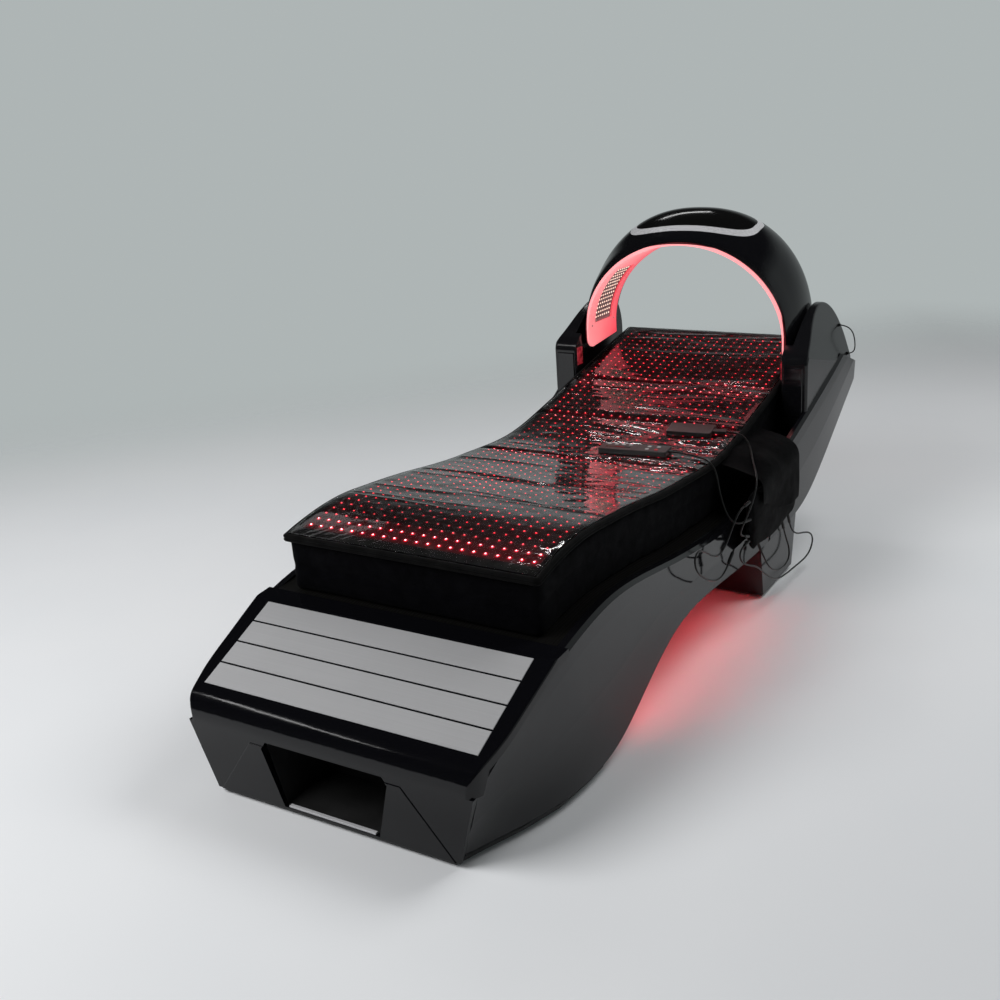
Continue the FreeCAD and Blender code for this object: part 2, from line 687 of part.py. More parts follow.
length = TIP_STATION - FRONT_STATION
stations = [FRONT_STATION + length * i / (SHELL_STATIONS - 1) for i in range(SHELL_STATIONS)]
shell = Part.makeLoft([shell_section(s) for s in stations], True, False)
shell = shell.cut(inner_prism(-50, 900))
shell = shell.cut(nose_blank)
tip_end = TIP_CUT_END[0] + 10
shell = shell.cut(side_profile([
    TIP_CUT_START, TIP_CUT_END, (tip_end, TIP_CUT_END[1]), (tip_end, 800), (TIP_CUT_START[0], 800),
], DECK_HALF - 92, DECK_HALF + 208))
solids = sorted(shell.Solids, key=lambda s: -s.Volume)
shell = solids[0]
side_shell_right = shell
side_shell_left = mirrored(shell)

# Deck under the mattress
wide = DECK_HALF + HEAD_OUTSET + 24.0
deck = wave_slab(PADDING_STACK + DECK_THICK, PADDING_STACK, DECK_BACK[0], DECK_END, -wide, wide)
deck = deck.common(inner_prism(0, 900))
add("deck", deck)
add("side_shell_right", side_shell_right)
add("side_shell_left", side_shell_left)

# Front fascia with the wide trapezoid block and the foot recess
def leaning(outline, foot_front):
    # A front outline whose face leans forward from its foot to the lip.
    head_front = foot_front - FASCIA_LEAN
    side = side_profile([
        (head_front, FASCIA_TOP), (foot_front, PLATE_HEIGHT), (FASCIA_BACK, PLATE_HEIGHT), (FASCIA_BACK, FASCIA_TOP),
    ], -DECK_HALF, DECK_HALF)
    return front_profile(outline, head_front, FASCIA_BACK).common(side)


fascia = leaning([
    (-FASCIA_LOW_HALF, PLATE_HEIGHT), (FASCIA_LOW_HALF, PLATE_HEIGHT),
    (FASCIA_HIGH_HALF, FASCIA_TOP), (-FASCIA_HIGH_HALF, FASCIA_TOP),
], FASCIA_FRONT)
block_outline = [
    (-BLOCK_LOW_HALF, PLATE_HEIGHT), (BLOCK_LOW_HALF, PLATE_HEIGHT),
    (BLOCK_HIGH_HALF, BLOCK_TOP), (-BLOCK_HIGH_HALF, BLOCK_TOP),
]
block = leaning(block_outline, BLOCK_FRONT)
recess_outline = [
    (-RECESS_LOW_HALF, RECESS_LOW), (RECESS_LOW_HALF, RECESS_LOW),
    (RECESS_HIGH_HALF, RECESS_MID), (RECESS_TOP_HALF, RECESS_HIGH),
    (-RECESS_TOP_HALF, RECESS_HIGH), (-RECESS_HIGH_HALF, RECESS_MID),
]
recess_mouth = front_profile(recess_outline, BLOCK_FRONT - FASCIA_LEAN - 1, FASCIA_BACK + 1)
fascia = fascia.cut(block).cut(recess_mouth)


def block_face(edge):
    b = edge.BoundBox
    return b.YMax < BLOCK_FRONT + 0.01 and b.ZMax > PLATE_HEIGHT + 1


block = rounded(block, BLOCK_ROUND, block_face)
block = block.cut(recess_mouth)
wall = RECESS_WALL
tub_outline = [
    (-RECESS_LOW_HALF - wall, RECESS_LOW - wall), (RECESS_LOW_HALF + wall, RECESS_LOW - wall),
    (RECESS_HIGH_HALF + wall, RECESS_MID + 1.5), (RECESS_TOP_HALF + 0.5 * wall, RECESS_HIGH + wall),
    (-RECESS_TOP_HALF - 0.5 * wall, RECESS_HIGH + wall), (-RECESS_HIGH_HALF - wall, RECESS_MID + 1.5),
]
tub = front_profile(tub_outline, FASCIA_BACK, FASCIA_BACK + RECESS_DEPTH)
tub = tub.cut(front_profile(recess_outline, FASCIA_BACK - 1, FASCIA_BACK + RECESS_DEPTH - wall))
trim_half = RECESS_LOW_HALF - TRIM_INSET
trim_front = BLOCK_FRONT + 1.0
recess_trim = box(-trim_half, trim_half, trim_front, trim_front + TRIM_DEPTH,
                  RECESS_LOW, RECESS_LOW + TRIM_HEIGHT)
recess_trim = rounded(recess_trim, TRIM_ROUND, lambda e: e.BoundBox.XLength > 50)
add("front_fascia", fascia)
add("fascia_block", block)
add("recess_tub", tub)
add("recess_trim", recess_trim)

# Base plates on pads
plate_side = [(DECK_HALF + p[1], p[0]) for p in FRONT_PLATE_PLAN]
plate_side.append((plate_side[-1][0], BELLY_START))
plate_outline = plate_side + [(-x, y) for x, y in reversed(plate_side)]
front_plate = plan_profile(plate_outline, PAD_HEIGHT, PLATE_HEIGHT)
bulkhead = box(-DECK_HALF, DECK_HALF, BULKHEAD_START, BELLY_START, PLATE_HEIGHT, 600)
deck_mass = wave_slab(PADDING_STACK + DECK_THICK, -300.0, -330, TIP_STATION + 6, -wide, wide)
bulkhead = bulkhead.cut(deck_mass)
add("front_bulkhead", bulkhead)


# Pans follow the lower edge of the side shells
def pan(y0, y1, half, count):
    upper = []
    lower = []
    for i in range(count + 1):
        station = y0 + (y1 - y0) * i / count
        z = flowing(LOWER_HEIGHT, station) + PAN_LIFT
        lower.append(V(-half, station, z))
        upper.append(V(-half, station, z + PAN_THICK))
    low_curve = Part.BSplineCurve()
    low_curve.interpolate(lower)
    high_curve = Part.BSplineCurve()
    high_curve.interpolate(upper)
    edges = [
        low_curve.toShape(),
        Part.makeLine(lower[-1], upper[-1]),
        high_curve.toShape(),
        Part.makeLine(upper[0], lower[0]),
    ]
    face = Part.Face(Part.Wire(Part.__sortEdges__(edges)))
    return face.extrude(V(2 * half, 0, 0))


belly_pan = pan(BELLY_START, BELLY_END, DECK_HALF, 16)
rear_pan = pan(REAR_PAN_START, DECK_END, wide, 8).common(inner_prism(0, 900))
rear_pan = sorted(rear_pan.cut(deck_mass).Solids, key=lambda s: -s.Volume)[0]
add("belly_pan", belly_pan)
add("rear_pan", rear_pan)
head_half = DECK_HALF + HEAD_OUTSET
head_low = flowing(LOWER_HEIGHT, TIP_STATION)
head_panel = box(-head_half, head_half, DECK_END, TIP_STATION, head_low, HEAD_PANEL_TOP)
add("head_panel", head_panel)

# Pedestal, open below, with its plate
pedestal_head = PEDESTAL_TOP + PEDESTAL_HEAD
pedestal_outline = [
    (PEDESTAL_FRONT_LOW, PLATE_HEIGHT), (PEDESTAL_REAR_LOW, PLATE_HEIGHT),
    (PEDESTAL_REAR_HIGH, pedestal_head - PEDESTAL_HEAD_CHAMFER), (PEDESTAL_REAR_HIGH - 4, pedestal_head),
    (PEDESTAL_FRONT_HIGH, pedestal_head), (PEDESTAL_FRONT_HIGH, PEDESTAL_TOP),
]
pedestal = side_profile(pedestal_outline, -PEDESTAL_HALF, PEDESTAL_HALF)
pedestal = pedestal.cut(shell).cut(mirrored(shell)).cut(belly_pan).cut(rear_pan)
inside = box(-PEDESTAL_HALF + 2 * PEDESTAL_WALL, PEDESTAL_HALF - 2 * PEDESTAL_WALL,
             PEDESTAL_FRONT_LOW + PEDESTAL_WALL, PEDESTAL_REAR_LOW - PEDESTAL_WALL,
             PLATE_HEIGHT - 1, pedestal_head - PEDESTAL_HEAD_CHAMFER)
pedestal = pedestal.cut(inside)
pedestal = sorted(pedestal.Solids, key=lambda s: -s.Volume)[0]
inset = PEDESTAL_PLATE_INSET
pedestal_plate = box(-PEDESTAL_HALF + inset, PEDESTAL_HALF - inset,
                     PEDESTAL_FRONT_LOW + inset, PEDESTAL_REAR_LOW - inset, PAD_HEIGHT, PLATE_HEIGHT)
column_outer = []
column_tubes = []
for side in (-1, 1):
    for station in (COLUMN_FRONT, COLUMN_REAR):
        half = COLUMN_SIDE / 2.0
        x = side * COLUMN_OFFSET
        outer = box(x - half, x + half, station - half, station + half, PLATE_HEIGHT, 600)
        outer = outer.cut(deck_mass)
        bore = half - COLUMN_WALL
        inner = box(x - bore, x + bore, station - bore, station + bore, 0, 600)
        column_outer.append(outer)
        column_tubes.append(outer.cut(inner))
for outer in column_outer:
    pedestal = pedestal.cut(outer)

# Mains inlet and rocker in the rear wall of the pedestal
inlet_hole = box(-INLET_HALF, INLET_HALF, INLET_FRONT - 3, PEDESTAL_REAR_HIGH + 50, INLET_LOW, INLET_HIGH)
pedestal = pedestal.cut(inlet_hole)
inlet = box(-INLET_HALF, INLET_HALF, INLET_FRONT, INLET_FACE, INLET_LOW, INLET_HIGH)
socket_floor = INLET_FACE - SOCKET_DEPTH
inlet = inlet.cut(box(SOCKET_CENTRE - SOCKET_HALF, SOCKET_CENTRE + SOCKET_HALF, socket_floor, INLET_FACE + 1,
                      ROCKER_HEIGHT - SOCKET_HALF_HEIGHT, ROCKER_HEIGHT + SOCKET_HALF_HEIGHT))
for step in (-1, 0, 1):
    pin_x = SOCKET_CENTRE + step * SOCKET_PIN_PITCH
    inlet = inlet.fuse(box(pin_x - 1, pin_x + 1, socket_floor - 1, socket_floor - 1 + SOCKET_PIN_LENGTH,
                           ROCKER_HEIGHT - 3, ROCKER_HEIGHT + 3))
rocker_end = ROCKER_HALF_LENGTH + ROCKER_END_CLEARANCE
bore = Part.makeCylinder(ROCKER_BORE, 2 * rocker_end,
                         V(ROCKER_X - rocker_end, ROCKER_STATION, ROCKER_HEIGHT), V(1, 0, 0))
slot = box(ROCKER_X - rocker_end, ROCKER_X + rocker_end, ROCKER_STATION, INLET_FACE + 1,
           ROCKER_HEIGHT - ROCKER_SLOT_HALF, ROCKER_HEIGHT + ROCKER_SLOT_HALF)
inlet = inlet.cut(bore).cut(slot)
rocker = Part.makeCylinder(ROCKER_RADIUS, 2 * ROCKER_HALF_LENGTH,
                           V(ROCKER_X - ROCKER_HALF_LENGTH, ROCKER_STATION, ROCKER_HEIGHT), V(1, 0, 0))
rocker_left = ROCKER_X - ROCKER_FACE_HALF
rocker_right = ROCKER_X + ROCKER_FACE_HALF
rocker = rocker.fuse(box(rocker_left, rocker_right, ROCKER_STATION, INLET_FACE + 3.5,
                         ROCKER_HEIGHT - ROCKER_STEM_HALF, ROCKER_HEIGHT + ROCKER_STEM_HALF))
rocker = rocker.fuse(box(rocker_left, rocker_right, INLET_FACE + 2.2, INLET_FACE + 4.6,
                         ROCKER_HEIGHT - ROCKER_FACE_REACH, ROCKER_HEIGHT + ROCKER_FACE_REACH))
add("pedestal", pedestal)
add("base_plates", Part.makeCompound([front_plate, pedestal_plate]))
add("frame_columns", Part.makeCompound(column_tubes))
add("mains_inlet", inlet)
add("power_rocker", rocker)
supply_top = PLATE_HEIGHT + SUPPLY_HEIGHT
supply = box(-SUPPLY_HALF_WIDTH, SUPPLY_HALF_WIDTH, SUPPLY_START, SUPPLY_START + SUPPLY_DEPTH,
             PLATE_HEIGHT, supply_top)
add("power_supply", rounded(supply, SUPPLY_ROUND, lambda e: e.BoundBox.ZMin > supply_top - 1))

pads = []
pad_places = (
    (DECK_HALF - FRONT_PAD_INSET, FRONT_PAD_STATION),
    (DECK_HALF - MIDDLE_PAD_INSET, MIDDLE_PAD_STATION),
    (DECK_HALF + REAR_PAD_OUTSET, PEDESTAL_FRONT_LOW + REAR_PAD_MARGIN),
    (DECK_HALF + REAR_PAD_OUTSET, PEDESTAL_REAR_LOW - REAR_PAD_MARGIN),
)
for x, y in pad_places:
    for side in (-1, 1):
        pads.append(Part.makeCylinder(PAD_RADIUS, PAD_HEIGHT, V(side * x, y, 0)))
add("levelling_pads", Part.makeCompound(pads))


# Ribs between the belly pan and the deck
def under_pan(low, high):
    lower = []
    upper = []
    for i in range(17):
        station = BELLY_START + (BELLY_END - BELLY_START) * i / 16
        z = flowing(LOWER_HEIGHT, station) + PAN_LIFT
        lower.append(V(-DECK_HALF, station, z + low))
        upper.append(V(-DECK_HALF, station, z + high))
    low_curve = Part.BSplineCurve()
    low_curve.interpolate(lower)
    high_curve = Part.BSplineCurve()
    high_curve.interpolate(upper)
    edges = [low_curve.toShape(), Part.makeLine(lower[-1], upper[-1]),
             high_curve.toShape(), Part.makeLine(upper[0], lower[0])]
    return Part.Face(Part.Wire(Part.__sortEdges__(edges))).extrude(V(2 * DECK_HALF, 0, 0))


pan_mass = under_pan(-400.0, PAN_THICK)
ribs = []
for side in (-1, 1):
    x = side * RIB_OFFSET
    rib = box(x - RIB_THICK / 2.0, x + RIB_THICK / 2.0, RIB_START, RIB_END, -100, 700)
    rib = rib.cut(deck_mass).cut(pan_mass)
    for i in range(RIB_HOLES):
        station = RIB_START + RIB_FIRST_HOLE + i * RIB_HOLE_PITCH
        middle = (wave_height(station) - PADDING_STACK - DECK_THICK
                  + flowing(LOWER_HEIGHT, station) + PAN_LIFT + PAN_THICK) / 2.0
        hole_start = V(x - RIB_THICK / 2.0 - 1, station, middle)
        rib = rib.cut(Part.makeCylinder(RIB_HOLE_RADIUS, RIB_THICK + 2, hole_start, V(1, 0, 0)))
    ribs.append(rib)
add("deck_ribs", Part.makeCompound(ribs))
glow = under_pan(-GLOW_STRIP_HEIGHT, 0.0)
strips = []
for side in (1, -1):
    x0 = side * GLOW_OFFSET - GLOW_STRIP_WIDTH / 2.0
    strips.append(glow.common(box(x0, x0 + GLOW_STRIP_WIDTH, GLOW_START, GLOW_END, 0, 400)).Solids[0])
add("glow_strips", Part.makeCompound(strips))

# Mattress with rounded edges and a sewn channel round its sides
half = MATTRESS_HALF_WIDTH
mattress = wave_slab(PADDING_STACK, MAT_THICK, MATTRESS_START, MATTRESS_END, -half, half)
mattress = rounded(mattress, MATTRESS_CORNER,
                   lambda e: e.BoundBox.ZLength > MATTRESS_THICK * 0.7 and e.BoundBox.YLength < 1)
middle_drop = MAT_THICK + SIDE_CHANNEL_DROP
channel = wave_slab(middle_drop + SIDE_CHANNEL_WIDTH, middle_drop, MATTRESS_START, MATTRESS_END, -half, half)
channel = channel.cut(box(-half + SIDE_CHANNEL_DEPTH, half - SIDE_CHANNEL_DEPTH,
                          MATTRESS_START + SIDE_CHANNEL_DEPTH, MATTRESS_END - SIDE_CHANNEL_DEPTH, 0, 900))
mattress = mattress.cut(channel)
add("mattress", mattress)

# Light mat with its bound edge and clear cover
half = MAT_HALF_WIDTH
core_half = half - BINDING_WIDTH
core_start = MAT_START + BINDING_WIDTH
core_end = MAT_END - BINDING_WIDTH
core = wave_slab(MAT_THICK, 0.0, core_start, core_end, -core_half, core_half)
core_space = box(-core_half, core_half, core_start, core_end, 0, 900)
binding = wave_slab(MAT_THICK, BINDING_SUNK, MAT_START, MAT_END, -half, half)


def upright(edge):
    b = edge.BoundBox
    return b.ZLength > MAT_THICK / 2.0 and b.YLength < 1 and b.XLength < 1


def not_upright(edge):
    return edge.BoundBox.YLength >= 1 or edge.BoundBox.XLength >= 1


binding = rounded(binding, MAT_CORNER, upright)
binding = rounded(binding, BINDING_ROUND, not_upright)
groove = wave_slab(BINDING_GROOVE_DROP + BINDING_GROOVE_WIDTH, BINDING_GROOVE_DROP,
                   MAT_START - 5, MAT_END + 5, -half - 5, half + 5)
groove_half = half - BINDING_GROOVE_DEPTH
groove = groove.cut(box(-groove_half, groove_half, MAT_START + BINDING_GROOVE_DEPTH,
                        MAT_END - BINDING_GROOVE_DEPTH, 0, 900))
binding = binding.cut(core_space).cut(groove)
cover_half = half - COVER_INSET
cover = wave_slab(0.0, -COVER_THICK, MAT_START + COVER_INSET, MAT_END - COVER_INSET, -cover_half, cover_half)
add("light_mat", core)
add("mat_binding", binding)
add("clear_cover", cover)

# Arms
top_points = [V(ARM_INNER_FRONT, PIVOT_STATION + p[0], PIVOT_HEIGHT + p[1]) for p in ARM_TOP_LINE]
top_curve = Part.BSplineCurve()
top_curve.interpolate(top_points)
foot_front = V(ARM_INNER_FRONT, ARM_FRONT, ARM_FOOT_HEIGHT)
foot_rear = V(ARM_INNER_FRONT, ARM_REAR, ARM_FOOT_HEIGHT)
arm_edges = [
    top_curve.toShape(),
    Part.makeLine(top_points[-1], foot_rear),
    Part.makeLine(foot_rear, foot_front),
    Part.makeLine(foot_front, top_points[0]),
]
arm = Part.Face(Part.Wire(Part.__sortEdges__(arm_edges))).extrude(V(120, 0, 0))
arm_head = ARM_TOP_HEIGHT + 4.0
arm_front = front_profile([
    (ARM_INNER_FRONT, ARM_FOOT_HEIGHT), (ARM_OUTER_LOW, ARM_FOOT_HEIGHT), (ARM_OUTER_LOW, ARM_BEND_HEIGHT),
    (ARM_OUTER_TOP, arm_head), (ARM_INNER_FRONT, arm_head),
], ARM_FRONT - 10, ARM_REAR + 10)
arm = arm.common(arm_front)
ridge_line = [(DECK_HALF + smooth(RIDGE_OUTSET, s) - ARM_RIDGE_INSET, s) for s in (ARM_FRONT - 10, PIVOT_STATION, ARM_REAR + 10)]
arm = arm.common(plan_profile([(0, ARM_FRONT - 10)] + ridge_line + [(0, ARM_REAR + 10)], ARM_FOOT_HEIGHT - 10, arm_head + 10))
leg_room = box(ARM_INNER_FRONT - 10, ARM_INNER_REAR, ARM_FRONT + CHEEK_DEPTH, ARM_REAR + 10,
               ARM_FOOT_HEIGHT - 10, arm_head + 100)
arm = arm.cut(leg_room)
deck_below = wave_slab(700.0, PADDING_STACK, -330, TIP_STATION + 6, -wide, wide)
arm = arm.cut(deck_below)
arm = sorted(arm.Solids, key=lambda s: -s.Volume)[0]


def arm_face(height):
    # Distance of the outer face from the middle of the bed, at the grommets.
    part_way = (height - ARM_BEND_HEIGHT) / (arm_head - ARM_BEND_HEIGHT)
    slanted = ARM_OUTER_LOW + part_way * (ARM_OUTER_TOP - ARM_OUTER_LOW)
    return min(slanted, DECK_HALF + smooth(RIDGE_OUTSET, GROMMET_STATION) - ARM_RIDGE_INSET)


def arm_crest(edge):
    b = edge.BoundBox
    return b.XMin > ARM_OUTER_TOP - 3 and b.ZLength > 8 and b.ZMin > PIVOT_HEIGHT - 50


def arm_nose(edge):
    b = edge.BoundBox
    return b.YMax < ARM_FRONT + 0.5 and b.ZLength > 20


arm = rounded(arm, ARM_ROUND, lambda e: arm_crest(e) or arm_nose(e))
arm = sorted(arm.cut(side_shell_right).Solids, key=lambda s: -s.Volume)[0]
cap_top = PIVOT_HEIGHT - CAP_TOP_DROP
cap = box(ARM_INNER_FRONT + CAP_SIDE_INSET, ARM_OUTER_LOW - CAP_OUTER_INSET,
          ARM_FRONT - CAP_THICK, ARM_FRONT, cap_top - CAP_HEIGHT, cap_top)
cap = rounded(cap, CAP_ROUND, lambda e: e.BoundBox.YMax < ARM_FRONT - CAP_THICK + 0.01)
panel_face = ARM_INNER_FRONT - LIT_PANEL_THICK
panel_top = PIVOT_HEIGHT - LIT_PANEL_TOP_DROP
panel = box(panel_face, ARM_INNER_FRONT, ARM_FRONT + LIT_PANEL_FRONT_INSET,
            ARM_FRONT + CHEEK_DEPTH - LIT_PANEL_REAR_INSET, panel_top - LIT_PANEL_HEIGHT, panel_top)
panel = rounded(panel, LIT_PANEL_ROUND, lambda e: e.BoundBox.XMax < panel_face + 0.01)

# Pivot pins, seated in the arms
pin_end = ARCH_INNER_HALF + LINER_THICK + 5.0
pin = Part.makeCylinder(PIVOT_RADIUS, ARM_INNER_REAR + PIVOT_SEAT - pin_end,
                        V(pin_end, PIVOT_STATION, PIVOT_HEIGHT), V(1, 0, 0))
shoulder_start = V(ARM_INNER_REAR - PIVOT_SHOULDER_THICK, PIVOT_STATION, PIVOT_HEIGHT)
pin_head = Part.makeCylinder(PIVOT_SHOULDER_RADIUS, PIVOT_SHOULDER_THICK, shoulder_start, V(1, 0, 0))
pin = pin.fuse(pin_head).removeSplitter()
arm = arm.cut(pin)

# Cord grommets on the right arm
grommets = []
arm_right = arm
high_face = arm_face(GROMMET_HIGH) + GROMMET_PROUD
low_face = arm_face(GROMMET_LOW) + GROMMET_PROUD
for height, face in ((GROMMET_HIGH, high_face), (GROMMET_LOW, low_face)):
    start = V(face - GROMMET_LENGTH, GROMMET_STATION, height)
    grommet = Part.makeCylinder(GROMMET_RADIUS, GROMMET_LENGTH, start, V(1, 0, 0))
    grommets.append(grommet)
    arm_right = arm_right.cut(grommet)
add("arm_right", arm_right)
add("arm_left", mirrored(arm))
add("arm_caps", Part.makeCompound([cap, mirrored(cap)]))
add("arm_panels", Part.makeCompound([panel, mirrored(panel)]))
add("pivot_pins", Part.makeCompound([pin, mirrored(pin)]))


# Arch
def arch_section(place, side_thick, crown_thick):
    station = PIVOT_STATION + place
    half_width = ARCH_INNER_HALF + side_thick
    rise = ARCH_INNER_RISE + crown_thick
    points = []
    steps = 28
    for i in range(steps + 1):
        angle = math.pi * i / steps
        c = math.cos(angle)
        s = math.sin(angle)
        x = half_width * math.copysign(abs(c) ** (2.0 / ARCH_POWER), c)
        z = ARCH_SPRING + rise * abs(s) ** (2.0 / ARCH_POWER)
        points.append(V(x, station, z))
    curve = Part.BSplineCurve()
    curve.interpolate(points)
    low = ARCH_SPRING - 90.0
    right_low = V(half_width, station, low)
    left_low = V(-half_width, station, low)
    return Part.Wire([curve.toShape(), Part.makeLine(points[-1], left_low),
                      Part.makeLine(left_low, right_low), Part.makeLine(right_low, points[0])])


def tunnel(half_width, rise, y0, y1):
    centre = V(0, y0, ARCH_SPRING)
    ellipse = Part.Ellipse(centre + V(half_width, 0, 0), centre + V(0, 0, rise), centre)
    low = ARCH_SPRING - 120.0
    arc = Part.ArcOfEllipse(ellipse, 0, math.pi).toShape()
    ends = [arc.valueAt(arc.FirstParameter), arc.valueAt(arc.LastParameter)]
    lows = [V(p.x, p.y, low) for p in ends]
    wire = Part.Wire(Part.__sortEdges__([arc, Part.makeLine(ends[1], lows[1]),
                                         Part.makeLine(lows[1], lows[0]), Part.makeLine(lows[0], ends[0])]))
    return Part.Face(wire).extrude(V(0, y1 - y0, 0))


def leg_outline(front, rear):
    # Side view of the arch legs with rounded tips, run across the whole width.
    r = LEG_TIP_ROUND
    k = r * (1 - math.sqrt(0.5))
    low_front = LEG_BOTTOM_FRONT
    low_rear = LEG_BOTTOM_REAR
    x = -wide
    high = ARCH_SPRING + 510.0
    points = [V(x, front, high), V(x, front, low_front + r), V(x, front + r, low_front),
              V(x, rear - r, low_rear), V(x, rear, low_rear + r), V(x, rear, high)]
    edges = [
        Part.makeLine(points[0], points[1]),
        Part.Arc(points[1], V(x, front + k, low_front + k), points[2]).toShape(),
        Part.makeLine(points[2], points[3]),
        Part.Arc(points[3], V(x, rear - k, low_rear + k), points[4]).toShape(),
        Part.makeLine(points[4], points[5]),
        Part.makeLine(points[5], points[0]),
    ]
    return Part.Face(Part.Wire(edges)).extrude(V(2 * wide, 0, 0))


dome = Part.makeLoft([arch_section(*s) for s in ARCH_SECTIONS], True, False)
bore_half = ARCH_INNER_HALF + LINER_THICK
bore_rise = ARCH_INNER_RISE + LINER_THICK
arch_shell = dome.common(leg_outline(ARCH_FRONT, ARCH_REAR))
arch_shell = arch_shell.cut(tunnel(bore_half, bore_rise, ARCH_FRONT - 20, ARCH_REAR + 20))
liner_front = ARCH_FRONT - LINER_LIP_DEPTH
liner = tunnel(bore_half, bore_rise, ARCH_FRONT, LINER_REAR)
lip = tunnel(ARCH_INNER_HALF + LINER_LIP, ARCH_INNER_RISE + LINER_LIP, liner_front, ARCH_FRONT)
liner = liner.fuse(lip)
liner = liner.cut(tunnel(ARCH_INNER_HALF, ARCH_INNER_RISE, liner_front - 20, ARCH_REAR + 20))
liner = liner.common(leg_outline(liner_front, ARCH_REAR))
boards = []
for side in (1, -1):
    x0, x1 = (150, wide) if side > 0 else (-wide, -150)
    window = box(x0, x1, WINDOW_FRONT, WINDOW_REAR, WINDOW_LOW, WINDOW_HIGH)
    liner = liner.cut(window)
    board_front = WINDOW_FRONT - BOARD_MARGIN
    board_rear = WINDOW_REAR + BOARD_MARGIN
    board = tunnel(bore_half + BOARD_THICK, bore_rise + BOARD_THICK, board_front, board_rear)
    board = board.cut(tunnel(bore_half, bore_rise, board_front - 20, board_rear + 20))
    board = board.common(box(x0, x1, board_front, board_rear,
                             WINDOW_LOW - BOARD_MARGIN, WINDOW_HIGH + BOARD_MARGIN))
    boards.append(board.Solids[0])
    arch_shell = arch_shell.cut(board)


# Display glass and silver bezel let into the crown
def oval(half_length, half_width):
    points = []
    steps = 40
    for i in range(steps):
        angle = 2.0 * math.pi * i / steps
        c = math.cos(angle)
        s = math.sin(angle)
        x = half_length * math.copysign(abs(c) ** (2.0 / DISPLAY_POWER), c)
        y = half_width * math.copysign(abs(s) ** (2.0 / DISPLAY_POWER), s)
        points.append(V(x, DISPLAY_CENTRE + y, ARCH_SPRING + 210.0))
    curve = Part.BSplineCurve()
    curve.interpolate(points, PeriodicFlag=True)
    return Part.Face(Part.Wire([curve.toShape()])).extrude(V(0, 0, 300))


glass_oval = oval(DISPLAY_HALF_LENGTH, DISPLAY_HALF_WIDTH)
bezel_oval = oval(DISPLAY_HALF_LENGTH + BEZEL_WIDTH, DISPLAY_HALF_WIDTH + BEZEL_WIDTH)
sunk_dome = dome.copy()
sunk_dome.translate(V(0, 0, -BEZEL_DEPTH))
inlay = dome.common(bezel_oval).cut(sunk_dome)
inlay = sorted(inlay.Solids, key=lambda s: -s.Volume)[0]
bezel = inlay.cut(glass_oval)
glass = inlay.common(glass_oval)
arch_shell = arch_shell.cut(bezel_oval.common(dome.cut(sunk_dome)))
arch_shell = sorted(arch_shell.Solids, key=lambda s: -s.Volume)[0]

bush_inner = PIVOT_RADIUS + PIVOT_CLEARANCE
bush_outer = bush_inner + BUSH_WALL
bushes = []
for side in (1, -1):
    x0 = pin_end - 1.0 if side > 0 else -(pin_end - 1.0)
    reach = Part.makeCylinder(bush_outer, 60.0, V(x0, PIVOT_STATION, PIVOT_HEIGHT), V(side, 0, 0))
    hole = Part.makeCylinder(bush_inner, 80.0, V(x0 - side * 10, PIVOT_STATION, PIVOT_HEIGHT), V(side, 0, 0))
    ring = Part.makeCylinder(bush_outer, BUSH_LENGTH, V(x0, PIVOT_STATION, PIVOT_HEIGHT), V(side, 0, 0))
    ring = ring.cut(hole)
    arch_shell = arch_shell.cut(reach)
    bushes.append(ring)
screws = []
for side in (1, -1):
    for station in (ARCH_FRONT + 24.0, ARCH_REAR - 40.0):
        seat = V(side * (ARCH_INNER_HALF - LINER_SCREW_PROUD), station, ARCH_SPRING + 16.0)
        head = Part.makeCylinder(LINER_SCREW_RADIUS, LINER_SCREW_LENGTH, seat, V(side, 0, 0))
        liner = liner.cut(head)
        screws.append(head)
add("arch_shell", arch_shell)
add("arch_liner", liner)
add("light_boards", Part.makeCompound(boards))
add("display_bezel", bezel)
add("display_glass", glass)
add("pivot_bushes", Part.makeCompound(bushes))
add("liner_screws", Part.makeCompound(screws))


# Handsets
def placed(shape, across, station, height, turn, tilt):
    shape = shape.copy()
    shape.rotate(V(0, 0, 0), V(0, 0, 1), turn)
    shape.rotate(V(0, 0, 0), V(1, 0, 0), tilt)
    shape.translate(V(across, station, height))
    return shape


def rest_height(station, half_depth):
    heights = [wave_height(station + half_depth * t) for t in (-1.0, -0.5, 0.0, 0.5, 1.0)]
    return max(heights) + COVER_THICK + REST_LIFT


def on_mat(shape):
    return placed(shape, HANDSET_ACROSS, HANDSET_STATION, first_height, HANDSET_TURN, 0)


def beside_it(shape):
    return placed(shape, SECOND_ACROSS, SECOND_STATION, second_height, SECOND_TURN, SECOND_TILT)


def slab(length, width, thick, corner):
    shape = box(-length / 2.0, length / 2.0, -width / 2.0, width / 2.0, 0, thick)
    shape = rounded(shape, corner, lambda e: e.BoundBox.ZLength > thick - 1)
    return rounded(shape, HANDSET_TOP_ROUND, lambda e: e.BoundBox.ZMin > thick - 0.1)


